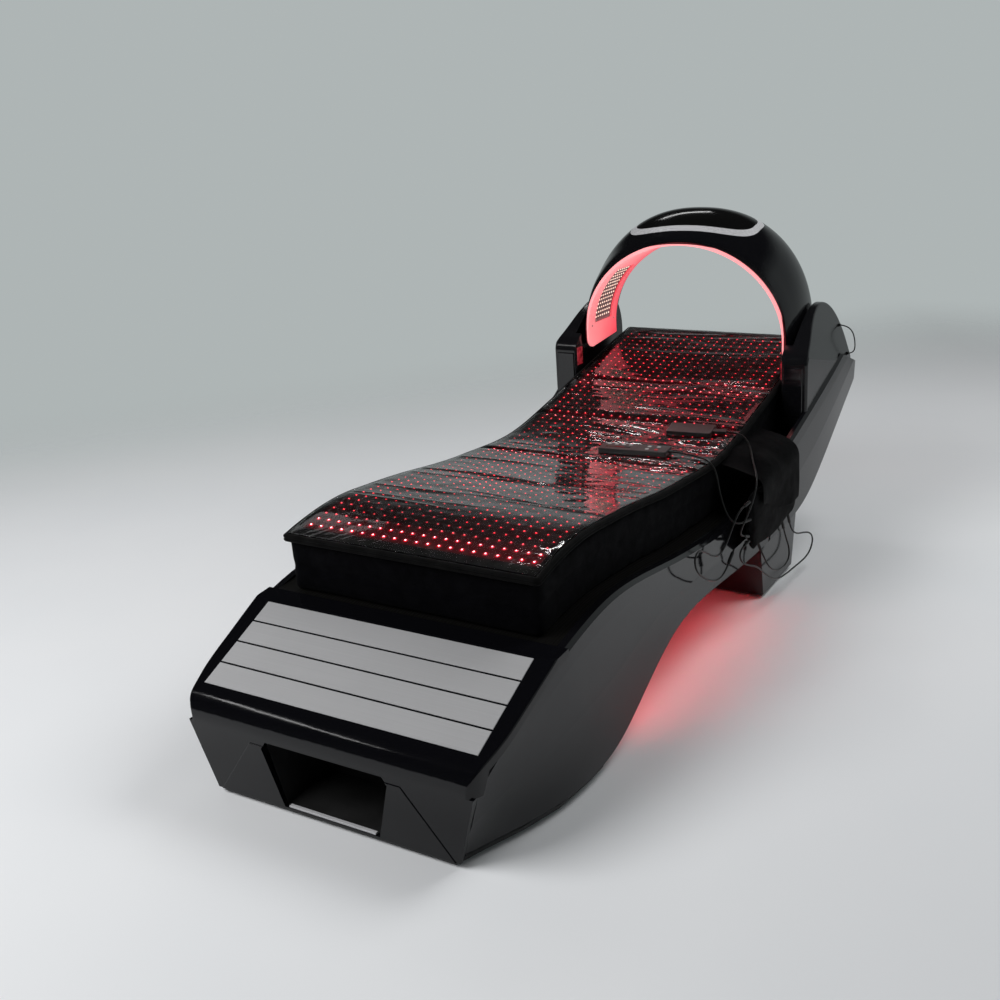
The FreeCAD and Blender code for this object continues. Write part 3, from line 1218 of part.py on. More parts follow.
first_height = rest_height(HANDSET_STATION, REST_REACH)
left_end = -HANDSET_LENGTH / 2.0
right_end = HANDSET_LENGTH / 2.0
near_edge = -HANDSET_WIDTH / 2.0
far_edge = HANDSET_WIDTH / 2.0
case = slab(HANDSET_LENGTH, HANDSET_WIDTH, HANDSET_THICK, HANDSET_ROUND)
relief_start = V(right_end - 1, 0, HANDSET_THICK / 2.0)
relief = Part.makeCylinder(RELIEF_RADIUS, RELIEF_LENGTH + 1, relief_start, V(1, 0, 0))
case = case.fuse(relief).removeSplitter()
key_places = []
for i in range(4):
    key_places.append((left_end + KEY_ROW_INSET + i * KEY_ROW_PITCH, far_edge - KEY_ROW_EDGE))
for v in (KEY_BLOCK_HALF, -KEY_BLOCK_HALF):
    for i in (1, 0):
        key_places.append((right_end - KEY_BLOCK_INSET - i * KEY_BLOCK_PITCH, v))
key_half = KEY_SIDE / 2.0
pocket_half = key_half + KEY_CLEARANCE
key_top = HANDSET_THICK + KEY_PROUD
key_low = key_top - KEY_HEIGHT
keys = []
for u, v in key_places:
    case = case.cut(box(u - pocket_half, u + pocket_half, v - pocket_half, v + pocket_half,
                        key_low - KEY_TRAVEL_ROOM, key_top + 20))
    key = box(u - key_half, u + key_half, v - key_half, v + key_half, key_low, key_top)
    keys.append(rounded(key, KEY_ROUND, lambda e: e.BoundBox.ZMin > key_top - 0.1))
readout_left = left_end + READOUT_INSET
readout_near = near_edge + READOUT_EDGE
readout = box(readout_left, readout_left + READOUT_LENGTH, readout_near, readout_near + READOUT_WIDTH,
              HANDSET_THICK - READOUT_DEPTH, HANDSET_THICK + READOUT_PROUD)
case = case.cut(readout)
divider_right = right_end - DIVIDER_INSET
case = case.cut(box(divider_right - DIVIDER_WIDTH, divider_right, near_edge + DIVIDER_MARGIN,
                    far_edge - DIVIDER_MARGIN, HANDSET_THICK - DIVIDER_DEPTH, key_top + 20))
add("handset_case", on_mat(case))
add("handset_window", on_mat(readout))
for i, key in enumerate(keys):
    add("handset_key_%d" % (i + 1), on_mat(key))
second = slab(SECOND_LENGTH, SECOND_WIDTH, SECOND_THICK, SECOND_ROUND)
plug_start = SECOND_LENGTH / 2.0
second_plug = box(plug_start, plug_start + PLUG_LENGTH, -PLUG_WIDTH / 2.0, PLUG_WIDTH / 2.0,
                  PLUG_LOW, PLUG_LOW + PLUG_THICK)
second_plug = rounded(second_plug, PLUG_ROUND, lambda e: e.BoundBox.XLength > PLUG_LENGTH - 1)
second_height = wave_height(SECOND_STATION) + COVER_THICK + REST_LIFT + SECOND_LIFT
add("second_handset", beside_it(second))
add("second_handset_plug", beside_it(second_plug))

# Pouch with its flap
pouch = box(POUCH_BACK, POUCH_FRONT, POUCH_START, POUCH_END, POUCH_LOW, POUCH_HIGH)
pouch = rounded(pouch, POUCH_CORNER, lambda e: e.BoundBox.XLength > 20 and e.BoundBox.ZMax < POUCH_LOW + 1)


def pouch_rim(edge):
    b = edge.BoundBox
    return b.XLength < 1 and b.ZMax < POUCH_HIGH - 1 or b.ZLength > 100


pouch = rounded(pouch, POUCH_ROUND, pouch_rim)
hang_x = MATTRESS_HALF_WIDTH
hang_top = POUCH_HIGH + FLAP_RISE
hang_low = hang_top - FLAP_HANG
flap = front_profile([
    (hang_x, hang_low), (hang_x + FLAP_THICK, hang_low), (hang_x + FLAP_THICK, hang_top - 3.5),
    (POUCH_BACK, POUCH_HIGH), (POUCH_FRONT - FLAP_EDGE, POUCH_HIGH),
    (POUCH_FRONT - FLAP_EDGE, POUCH_HIGH + FLAP_THICK), (POUCH_BACK + 1, POUCH_HIGH + FLAP_THICK),
    (hang_x + 1, hang_top), (hang_x, hang_top),
], FLAP_START, FLAP_END)

# Cords: points of each route, as bed stations
cord_first = [
    V(219.7, 998.0, 0), V(248, 1000, 0), V(300, 986, 0), V(350, 960, 0), V(382, 929, 462),
    V(400, 903, 422), V(418, 888, 382), V(438, 881, 348), V(459, 893, 331), V(SLEEVE_X, SLEEVE_END, 330),
]
cord_second = [
    V(314.0, 1179.7, 0), V(350, 1178, 0), V(382, 1160, 495), V(406, 1130, 478), V(426, 1090, 462),
    V(450, 1044, 450), V(472, 1000, 443), V(488, 958, 427), V(492, 920, 396), V(484, 898, 360),
    V(472, 886, 326), V(464, 894, 298), V(SLEEVE_X, SLEEVE_END, 288),
]
cord_loop = [
    V(SLEEVE_X, 1310, LOOP_SLEEVE_LOW), V(469, 1318, 166), V(476, 1348, 142), V(486, 1396, 132),
    V(492, 1440, 116), V(494, 1462, 86), V(492, 1442, 56), V(490, 1400, 46), V(488, 1346, 48),
    V(487, 1288, 53), V(486, 1228, 58), V(486, 1168, 67), V(485, 1114, 86), V(484, 1064, 114),
    V(482, 1020, 148), V(480, 978, 178), V(474, 936, 196), V(468, 903, 214), V(464, 890, 238),
    V(464, 903, 256), V(SLEEVE_X, SLEEVE_END, 259),
]
cord_short_loop = [
    V(SLEEVE_X, 1255, LOOP_SLEEVE_LOW), V(470, 1262, 164), V(479, 1268, 130), V(486, 1252, 104),
    V(488, 1212, 94), V(488, 1166, 97), V(487, 1122, 110), V(485, 1084, 132), V(478, 1062, 161),
    V(SLEEVE_X, 1058, LOOP_SLEEVE_LOW),
]
cord_plug = [
    V(SLEEVE_X, SLEEVE_END, 376), V(462, 896, 372), V(457, 858, 340), V(456, 816, 304), V(456, 768, 288),
    V(456, 716, 304), V(455, 668, 336), V(455, 622, 356), V(458, 590, 344), V(463, 590, 312),
    V(466, 628, 280), V(468, 672, 254), V(470, 718, 238), V(472, 758, 242), V(474, 782, 262),
]
barrel_axis = (cord_plug[-1] - cord_plug[-2]).normalize()
cord_arm = [
    V(high_face + CORD_SEAT_GAP, GROMMET_STATION, GROMMET_HIGH), V(high_face + 22, GROMMET_STATION + 2, 691),
    V(high_face + 41, GROMMET_STATION + 4, 673), V(low_face + 18, GROMMET_STATION + 5, 645),
    V(low_face + 20, GROMMET_STATION + 4, 618), V(low_face + 14, GROMMET_STATION + 2, 603), V(low_face + CORD_SEAT_GAP, GROMMET_STATION, GROMMET_LOW),
]
first_axis = first_height + HANDSET_THICK / 2.0
tilt = math.radians(SECOND_TILT)
plug_middle = PLUG_LOW + PLUG_THICK / 2.0
plug_along = cord_second[0].y - SECOND_STATION
second_axis = second_height + plug_middle * math.cos(tilt) + plug_along * math.tan(tilt)
for i in range(4):
    cord_first[i].z = first_axis - 0.5 * i
for i in range(2):
    cord_second[i].z = second_axis
add("cord_handset", tube(cord_first, CORD_DIAMETER, "cord_handset"))
add("cord_second_handset", tube(cord_second, CORD_DIAMETER, "cord_second_handset"))
add("cord_long_loop", tube(cord_loop, CORD_DIAMETER, "cord_long_loop"))
add("cord_short_loop", tube(cord_short_loop, CORD_DIAMETER, "cord_short_loop"))
add("cord_with_plug", tube(cord_plug, CORD_DIAMETER, "cord_with_plug"))
add("cord_arm_loop", tube(cord_arm, THIN_CORD_DIAMETER, "cord_arm_loop"))
barrel = Part.makeCylinder(BARREL_RADIUS, BARREL_LENGTH, cord_plug[-1], barrel_axis)
barrel_tip = cord_plug[-1] + barrel_axis * BARREL_LENGTH
barrel = barrel.fuse(Part.makeCylinder(BARREL_TIP_RADIUS, BARREL_TIP_LENGTH, barrel_tip, barrel_axis))
add("barrel_plug", barrel)
sleeves = []
for end, before in (
    (cord_first[-1], cord_first[-2]),
    (cord_second[-1], cord_second[-2]),
    (cord_loop[-1], cord_loop[-2]),
    (cord_loop[0], cord_loop[1]),
    (cord_short_loop[0], cord_short_loop[1]),
    (cord_short_loop[-1], cord_short_loop[-2]),
    (cord_plug[0], cord_plug[1]),
):
    axis = (end - before).normalize()
    sleeve = Part.makeCylinder(SLEEVE_RADIUS, SLEEVE_LENGTH, end, axis)
    sleeves.append(sleeve)
    pouch = pouch.cut(sleeve)
add("cord_sleeves", Part.makeCompound(sleeves + grommets))
add("side_pouch", pouch.fuse(flap).removeSplitter())

# The origin lies on the floor, midway between the foot lip and the wing tips
to_middle = -(nose.BoundBox.YMin + TIP_STATION) / 2.0
print("moved along the bed by", round(to_middle, 3))
os.makedirs("parts", exist_ok=True)
for name, shape in nodes.items():
    shape = shape.copy()
    shape.translate(V(0, to_middle, 0))
    shape.exportStep("parts/%s.step" % name)
print(len(nodes), "nodes")
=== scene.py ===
import math
import random

import bmesh
import bpy
from mathutils import Matrix, Vector, noise
from mathutils.bvhtree import BVHTree


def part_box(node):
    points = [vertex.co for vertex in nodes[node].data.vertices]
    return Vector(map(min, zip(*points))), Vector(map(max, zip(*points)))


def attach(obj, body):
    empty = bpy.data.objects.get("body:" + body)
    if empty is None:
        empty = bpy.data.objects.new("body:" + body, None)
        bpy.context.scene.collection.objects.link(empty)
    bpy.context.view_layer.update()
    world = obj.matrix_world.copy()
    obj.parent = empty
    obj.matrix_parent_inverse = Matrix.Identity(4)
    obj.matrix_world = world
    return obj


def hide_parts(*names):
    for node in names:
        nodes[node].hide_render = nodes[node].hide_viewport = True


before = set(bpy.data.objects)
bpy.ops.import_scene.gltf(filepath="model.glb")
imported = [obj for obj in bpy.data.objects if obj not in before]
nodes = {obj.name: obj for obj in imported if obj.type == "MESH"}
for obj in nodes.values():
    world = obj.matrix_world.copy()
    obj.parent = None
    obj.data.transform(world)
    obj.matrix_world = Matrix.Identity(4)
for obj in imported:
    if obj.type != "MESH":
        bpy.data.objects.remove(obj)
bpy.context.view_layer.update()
scene = bpy.context.scene

# Bed stations are measured from the foot edge of the mattress, as the cord routes are
WING_TIP_STATION = 1.934
TO_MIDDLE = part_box("head_panel")[1].y - WING_TIP_STATION

# View of the photograph: place in metres, angles in degrees, lens as a share of the frame
CAMERA_PLACE = (1.530264, -2.699759, 1.468329)
CAMERA_TURN = 30.234
CAMERA_DROP = 18.662
CAMERA_ROLL = -3.115
CAMERA_LENS = 1.154477
CAMERA_SHIFT = (-0.060, -0.014)
SENSOR = 36.0

# Points of light in the mat
LIGHT_COLUMNS = 21
LIGHT_HALF_SPAN = 0.313
LIGHT_FIRST = 0.060
LIGHT_LAST = 1.850
LIGHT_PITCH = 0.0295
LIGHT_RADIUS = 0.0024
LIGHT_SWELL = 0.0011
LIGHT_RISE = 0.0022
LIGHT_SUNK = 0.0003
DOME_SIDES = 8

# Curve of the arch's opening
ARCH_HALF = 0.347
ARCH_RISE = 0.300
ARCH_SPRING = 0.690
ARCH_POWER = 2.25

# Mat top, its folds and the clear film
MAT_SUNK = 0.0020
MAT_DEEP = 0.0195
FOLD_STATIONS = (0.872, 1.215, 1.470)
FOLD_GLOW = (0.060, 0.045, 0.085)
FOLD_CORE = 0.3
FOLD_POWER = 0.5
FOLD_LEAD = 0.010
FOOT_GLOW = (0.080, 0.132)
FOLD_DEPTH = 0.0085
FOLD_HALF_WIDTH = 0.0110
FOOT_DROP = 0.0130
FOOT_REACH = 0.140
FILM_LIFT = 0.0008
FILM_THICK = 0.0004
FILM_RIM = 0.004
FILM_EDGE_EASE = 0.022
FILM_FOLD_SHARE = 0.9


def station(y):
    return y + TO_MIDDLE


# Shader helpers
def wire(tree, socket, value):
    """Links a socket to the input, or writes a plain value on it."""
    if isinstance(value, bpy.types.NodeSocket):
        tree.links.new(value, socket)
    else:
        socket.default_value = value


def put(tree, kind, inputs=None, **properties):
    made = tree.nodes.new("ShaderNode" + kind)
    for name, value in properties.items():
        setattr(made, name, value)
    for name, value in (inputs or {}).items():
        wire(tree, made.inputs[name], value)
    return made


def feed(tree, node, **sources):
    """Links each source to the input of that name, where an underscore stands for a space."""
    for name, source in sources.items():
        tree.links.new(source, node.inputs[name.replace("_", " ")])


def calc(tree, operation, first, second=0.0, third=0.0, clamp=False):
    made = put(tree, "Math", operation=operation, use_clamp=clamp)
    for socket, value in zip(made.inputs, (first, second, third)):
        wire(tree, socket, value)
    return made.outputs[0]


def between(tree, factor, low, high):
    """Colour between two colours; each may be a socket or a plain colour."""
    return put(tree, "Mix", {0: factor, 6: low, 7: high}, data_type="RGBA").outputs[2]


def ranged(tree, share, low, high):
    """Value at a share of the way from one value to another."""
    return calc(tree, "MULTIPLY_ADD", share, calc(tree, "SUBTRACT", high, low), low)


def spread(tree, value, from_low, from_high, to_low=0.0, to_high=1.0, ends="LINEAR"):
    """Maps one range of values to another; ends is LINEAR or SMOOTHSTEP."""
    made = put(tree, "MapRange", interpolation_type=ends)
    places = {"From Min": from_low, "From Max": from_high, "To Min": to_low, "To Max": to_high}
    for name, place in places.items():
        made.inputs[name].default_value = place
    tree.links.new(value, made.inputs["Value"])
    return made.outputs[0]


def new_group(name, inputs, outputs):
    tree = bpy.data.node_groups.new(name, "ShaderNodeTree")
    for label, kind, value in inputs:
        socket = tree.interface.new_socket(label, in_out="INPUT", socket_type="NodeSocket" + kind)
        socket.default_value = value
    for label, kind in outputs:
        tree.interface.new_socket(label, in_out="OUTPUT", socket_type="NodeSocket" + kind)
    return tree, tree.nodes.new("NodeGroupInput"), tree.nodes.new("NodeGroupOutput")


def place_group(tree, group, **values):
    made = tree.nodes.new("ShaderNodeGroup")
    made.node_tree = group
    for name, value in values.items():
        made.inputs[name].default_value = value
    return made


def own_place(tree):
    return put(tree, "TexCoord").outputs["Object"]


def clouds(tree, scale, detail, roughness=0.5, place=None):
    """Noise from 0 to 1 over the piece, or over another place that is given."""
    where = own_place(tree) if place is None else place
    settings = {"Vector": where, "Scale": scale, "Detail": detail, "Roughness": roughness}
    return put(tree, "TexNoise", settings).outputs["Fac"]


def grey(value, tint=1.0):
    return (value, value, value * tint, 1.0)


# Lacquer: wide smears, fine orange peel and specks of dust
def make_lacquer_group():
    tree, got, out = new_group(
        "lacquer",
        [("Smear", "Float", 5.0), ("Clear", "Float", 0.05), ("Dull", "Float", 0.14),
         ("Dust", "Float", 0.02)],
        [("Roughness", "Float"), ("Height", "Float"), ("Specks", "Float")],
    )
    smear = clouds(tree, got.outputs["Smear"], 5.0, 0.6)
    cells = put(tree, "TexVoronoi", {"Vector": own_place(tree), "Scale": 95.0, "Randomness": 1.0})
    speck = spread(tree, cells.outputs["Distance"], 0.0, 0.075, 1.0, 0.0)
    where = spread(tree, smear, 0.45, 0.7)
    specks = calc(tree, "MULTIPLY", calc(tree, "MULTIPLY", speck, where), got.outputs["Dust"])
    amount = spread(tree, smear, 0.35, 0.75)
    rough = ranged(tree, amount, got.outputs["Clear"], got.outputs["Dull"])
    peel = clouds(tree, 260.0, 2.0)
    feed(tree, out, Roughness=calc(tree, "ADD", rough, specks), Height=peel, Specks=specks)
    return tree


# Weave: crossing threads that need no unwrapping, with slubs and worn patches
def make_weave_group():
    tree, got, out = new_group(
        "weave",
        [("Threads", "Float", 1500.0), ("Dark", "Color", grey(0.01)), ("Light", "Color", grey(0.03))],
        [("Color", "Color"), ("Height", "Float"), ("Roughness", "Float")],
    )
    split = put(tree, "SeparateXYZ", {"Vector": own_place(tree)})
    waves = []
    for axis in "XYZ":
        turned = calc(tree, "MULTIPLY", split.outputs[axis], got.outputs["Threads"])
        waves.append(calc(tree, "SINE", turned))
    total = 0.0
    for a, b in ((0, 1), (1, 2), (2, 0)):
        total = calc(tree, "MULTIPLY_ADD", waves[a], waves[b], total)
    threads = spread(tree, total, -1.0, 1.0)
    slub = clouds(tree, 26.0, 6.0, 0.65)
    worn = spread(tree, slub, 0.35, 0.72, 0.0, 0.55)
    factor = calc(tree, "MULTIPLY_ADD", threads, 0.45, worn, clamp=True)
    feed(tree, out, Color=between(tree, factor, got.outputs["Dark"], got.outputs["Light"]),
         Height=calc(tree, "MULTIPLY_ADD", slub, 0.8, threads),
         Roughness=spread(tree, slub, 0.3, 0.7, 0.95, 0.72))
    return tree


# Moulded grain: pebbled skin with slow changes of tone
def make_grain_group():
    tree, got, out = new_group(
        "moulded_grain",
        [("Scale", "Float", 700.0), ("Tone", "Color", grey(0.03)), ("Pale", "Color", grey(0.05)),
         ("Smooth", "Float", 0.4), ("Rough", "Float", 0.6)],
        [("Color", "Color"), ("Height", "Float"), ("Roughness", "Float")],
    )
    pebbles = put(tree, "TexVoronoi", {"Vector": own_place(tree), "Scale": got.outputs["Scale"]},
                  feature="SMOOTH_F1")
    amount = spread(tree, clouds(tree, 14.0, 5.0, 0.6), 0.3, 0.75)
    feed(tree, out, Color=between(tree, amount, got.outputs["Tone"], got.outputs["Pale"]),
         Height=pebbles.outputs["Distance"],
         Roughness=ranged(tree, amount, got.outputs["Smooth"], got.outputs["Rough"]))
    return tree


# Light zones: painted brightness of the mat's lights and of the glow round them along the bed, strongest at
# the foot and by the folds, where the rows tilt towards the view
def make_zone_group():
    tree, got, out = new_group("light_zone", [("Dim", "Float", 0.1)], [("Power", "Float")])
    along = put(tree, "SeparateXYZ", {"Vector": own_place(tree)}).outputs["Y"]
    hot = spread(tree, along, station(FOOT_GLOW[0]), station(FOOT_GLOW[1]), 1.0, 0.0)
    for place, reach in zip(FOLD_STATIONS, FOLD_GLOW):
        away = calc(tree, "ABSOLUTE", calc(tree, "SUBTRACT", along, station(place) - FOLD_LEAD))
        near = spread(tree, away, FOLD_CORE * reach, reach, FOLD_POWER, 0.0)
        hot = calc(tree, "MAXIMUM", hot, near)
    patch = spread(tree, clouds(tree, 4.0, 2.0), 0.42, 0.68, 0.6, 2.0)
    dim = calc(tree, "MULTIPLY", patch, got.outputs["Dim"])
    feed(tree, out, Power=calc(tree, "MAXIMUM", hot, dim, clamp=True))
    return tree


# Brushed metal: long streaks along one direction and slow stains
def make_brush_group():
    tree, got, out = new_group(
        "brushed",
        [("Stretch", "Vector", (3.0, 900.0, 900.0)), ("Dark", "Color", grey(0.5)),
         ("Light", "Color", grey(0.8)), ("Smooth", "Float", 0.25), ("Rough", "Float", 0.4)],
        [("Color", "Color"), ("Height", "Float"), ("Roughness", "Float")],
    )
    stretched = put(tree, "VectorMath", {0: own_place(tree), 1: got.outputs["Stretch"]},
                    operation="MULTIPLY")
    streaks = clouds(tree, 1.0, 4.0, 0.7, stretched.outputs[0])
    line = spread(tree, streaks, 0.3, 0.7)
    stains = clouds(tree, 7.0, 4.0)
    mixed = calc(tree, "MULTIPLY_ADD", stains, 0.5, calc(tree, "MULTIPLY", line, 0.6), clamp=True)
    feed(tree, out, Color=between(tree, mixed, got.outputs["Dark"], got.outputs["Light"]), Height=streaks,
         Roughness=ranged(tree, line, got.outputs["Smooth"], got.outputs["Rough"]))
    return tree


LACQUER = make_lacquer_group()
WEAVE = make_weave_group()
GRAIN = make_grain_group()
BRUSH = make_brush_group()
LIGHT_ZONE = make_zone_group()


# Materials
def new_material(name, **plain):
    """A material with a Principled shader; plain values go straight on its sockets."""
    material = bpy.data.materials.new(name)
    material.use_nodes = True
    tree = material.node_tree
    shader = tree.nodes["Principled BSDF"]
    for label, value in plain.items():
        shader.inputs[label.replace("_", " ")].default_value = value
    return material, tree, shader


def bump(tree, shader, height, distance, strength=0.5):
    made = put(tree, "Bump", {"Height": height, "Distance": distance, "Strength": strength})
    feed(tree, shader, Normal=made.outputs["Normal"])


def dress(tree, shader, skin, depth, strength=0.5):
    """Gives the shader a group's colour, roughness and relief."""
    feed(tree, shader, Base_Color=skin.outputs["Color"], Roughness=skin.outputs["Roughness"])
    bump(tree, shader, skin.outputs["Height"], depth, strength)


def lacquered(name, colour, clear, dull, dust, gloss=0.5):
    material, tree, shader = new_material(name, IOR=1.5, Specular_IOR_Level=gloss)
    skin = place_group(tree, LACQUER, Smear=4.0, Clear=clear, Dull=dull, Dust=dust)
    pale = tuple(0.05 + part for part in colour[:3]) + (1.0,)
    feed(tree, shader, Base_Color=between(tree, skin.outputs["Specks"], colour, pale),
         Roughness=skin.outputs["Roughness"])
    bump(tree, shader, skin.outputs["Height"], 0.00002, 0.08)
    return material


def woven(name, dark, light, threads, depth, sheen):
    material, tree, shader = new_material(name, Sheen_Weight=sheen, Sheen_Roughness=0.5,
                                          Specular_IOR_Level=0.06)
    dress(tree, shader, place_group(tree, WEAVE, Threads=threads, Dark=dark, Light=light), depth)
    return material


def moulded(name, tone, pale, smooth, rough, scale=700.0, depth=0.00006):
    material, tree, shader = new_material(name, Specular_IOR_Level=0.45)
    skin = place_group(tree, GRAIN, Scale=scale, Tone=tone, Pale=pale, Smooth=smooth, Rough=rough)
    dress(tree, shader, skin, depth, 0.35)
    return material


def brushed(name, dark, light, smooth, rough, stretch, metal=1.0):
    material, tree, shader = new_material(name, Metallic=metal)
    skin = place_group(tree, BRUSH, Stretch=stretch, Dark=dark, Light=light, Smooth=smooth, Rough=rough)
    dress(tree, shader, skin, 0.00003, 0.25)
    return material


def lit(name, dark, bright, scale, strength, roughness):
    """A diffuser that glows; slow noise makes its brightness uneven."""
    material, tree, shader = new_material(name, Roughness=roughness, Emission_Strength=strength)
    colour = between(tree, spread(tree, clouds(tree, scale, 3.0), 0.3, 0.7), dark, bright)
    feed(tree, shader, Base_Color=colour, Emission_Color=colour)
    return material


def make_liner_material():
    """Milky liner lit from behind: bright at its lip, deeper red towards its rear edge, with painted shade
    along its outer rim.
    """
    material, tree, shader = new_material("lit_liner", Roughness=0.35, Emission_Strength=0.85)
    low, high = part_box("arch_liner")
    split = put(tree, "SeparateXYZ", {"Vector": own_place(tree)})
    depth = calc(tree, "MULTIPLY", spread(tree, split.outputs["Y"], low.y, high.y), 0.8)
    factor = calc(tree, "MULTIPLY_ADD", clouds(tree, 9.0, 2.0), 0.3, depth, clamp=True)
    colour = between(tree, factor, (1.0, 0.36, 0.37, 1), (0.75, 0.03, 0.06, 1))
    # Past the curve of the opening the liner is painted near black: a painted shadow gap along its outer rim
    across = calc(tree, "DIVIDE", calc(tree, "ABSOLUTE", split.outputs["X"]), ARCH_HALF)
    above = calc(tree, "MAXIMUM", calc(tree, "SUBTRACT", split.outputs["Z"], ARCH_SPRING), 0.0)
    above = calc(tree, "DIVIDE", above, ARCH_RISE)
    ring = calc(tree, "POWER", across, ARCH_POWER)
    ring = calc(tree, "ADD", ring, calc(tree, "POWER", above, ARCH_POWER))
    colour = between(tree, spread(tree, ring, 1.030, 1.042), colour, (0.05, 0.004, 0.006, 1))
    feed(tree, shader, Emission_Color=colour, Base_Color=colour)
    return material


def make_bead_material(name, strength, dim, faint, strong):
    """Red points of light; their painted brightness follows the light zones."""
    material, tree, shader = new_material(name, Roughness=0.2, Emission_Strength=strength,
                                          Base_Color=(0.5, 0.05, 0.06, 1))
    power = place_group(tree, LIGHT_ZONE, Dim=dim).outputs["Power"]
    shade = between(tree, power, faint, strong)
    feed(tree, shader, Emission_Color=between(tree, power, grey(0.0), shade))
    return material


def make_mat_material():
    """Black coated fabric with a soft painted red glow round each point of light, faint over the whole
    field.
    """
    material, tree, shader = new_material("mat_top", Emission_Strength=0.9, Specular_IOR_Level=0.2)
    cloth = place_group(tree, WEAVE, Threads=2400.0, Dark=grey(0.003), Light=grey(0.010))
    dress(tree, shader, cloth, 0.0001)
    grid = put(tree, "SeparateXYZ", {"Vector": put(tree, "UVMap").outputs["UV"]})
    square = 0.0
    for axis in "XY":
        away = calc(tree, "SUBTRACT", calc(tree, "FRACT", grid.outputs[axis]), 0.5)
        square = calc(tree, "MULTIPLY_ADD", away, away, square)
    # Painted glow: red light from the beads painted onto the fabric, scaled by the light zones
    painted_glow = spread(tree, calc(tree, "SQRT", square), 0.06, 0.40, 1.0, 0.0)
    painted_glow = calc(tree, "ADD", calc(tree, "POWER", painted_glow, 2.6), 0.05)
    zone = place_group(tree, LIGHT_ZONE, Dim=0.12)
    field = calc(tree, "GREATER_THAN", grid.outputs["Y"], 0.0)
    side = calc(tree, "ABSOLUTE", calc(tree, "SUBTRACT", grid.outputs["X"], 0.5))
    field = calc(tree, "MULTIPLY", field, calc(tree, "LESS_THAN", side, LIGHT_COLUMNS / 2.0))
    strength = calc(tree, "MULTIPLY", field, zone.outputs["Power"])
    painted_glow = calc(tree, "MULTIPLY", painted_glow, strength, clamp=True)
    feed(tree, shader, Emission_Color=between(tree, painted_glow, grey(0.0), (0.85, 0.0, 0.02, 1)))
    return material


def make_film_material():
    """Clear soft film: glass-like gloss with faint streaks of haze."""
    material, tree, shader = new_material("clear_film", Transmission_Weight=1.0, IOR=1.31)
    streak = put(tree, "Mapping", {"Vector": own_place(tree), "Scale": (5.0, 30.0, 30.0)})
    haze = clouds(tree, 1.0, 4.0, 0.6, streak.outputs[0])
    combed = put(tree, "Mapping", {"Vector": own_place(tree), "Scale": (9.0, 120.0, 120.0)})
    bump(tree, shader, clouds(tree, 1.0, 2.0, 0.5, combed.outputs[0]), 0.0010, 0.12)
    tint = spread(tree, haze, 0.3, 0.8)
    feed(tree, shader, Roughness=spread(tree, haze, 0.35, 0.7, 0.02, 0.07),
         Base_Color=between(tree, tint, (0.97, 0.98, 0.99, 1), (0.90, 0.91, 0.93, 1)))
    return material


def make_glass_material():
    material, tree, shader = new_material("smoked_glass", IOR=1.4, Specular_IOR_Level=0.3)
    skin = place_group(tree, LACQUER, Smear=6.0, Clear=0.09, Dull=0.15, Dust=0.01)
    feed(tree, shader, Base_Color=between(tree, skin.outputs["Specks"], grey(0.004), grey(0.05)),
         Roughness=skin.outputs["Roughness"])
    return material


def make_board_material():
    """Stained plywood: rings stretched along the bed."""
    material, tree, shader = new_material("stained_board", Specular_IOR_Level=0.2)
    place = put(tree, "Mapping", {"Vector": own_place(tree), "Scale": (9.0, 1.2, 9.0)})
    settings = {"Vector": place.outputs[0], "Scale": 4.0, "Distortion": 6.0, "Detail": 4.0}
    rings = put(tree, "TexWave", settings).outputs["Fac"]
    colour = between(tree, rings, (0.0024, 0.0023, 0.0022, 1), (0.0060, 0.0057, 0.0053, 1))
    feed(tree, shader, Base_Color=colour, Roughness=spread(tree, rings, 0.0, 1.0, 0.45, 0.7))
    bump(tree, shader, rings, 0.0002)
    return material


gloss_black = lacquered("gloss_black", (0.004, 0.004, 0.005, 1), 0.07, 0.13, 0.02)
nose_black = lacquered("nose_black", (0.003, 0.003, 0.004, 1), 0.09, 0.15, 0.02, 0.33)
arm_black = lacquered("arm_black", (0.006, 0.006, 0.007, 1), 0.16, 0.28, 0.02)
dark_inside = moulded("dark_inside", grey(0.010), grey(0.022), 0.35, 0.55)
tread_metal = brushed("tread_metal", grey(0.46, 1.02), grey(0.56, 1.02), 0.36, 0.48,
                      (2.0, 900.0, 900.0), 0.3)
trim_metal = brushed("trim_metal", grey(0.47, 1.03), grey(0.60, 1.03), 0.22, 0.34,
                     (3.0, 500.0, 500.0), 0.15)
frame_paint = moulded("frame_paint", grey(0.03), grey(0.05), 0.3, 0.5, 400.0)
stained_board = make_board_material()
pad_rubber = moulded("pad_rubber", grey(0.02), grey(0.04), 0.7, 0.9, 500.0, 0.0001)
red_glow = lit("red_glow", (0.9, 0.01, 0.02, 1), (1.0, 0.03, 0.05, 1), 20.0, 15.0, 0.4)
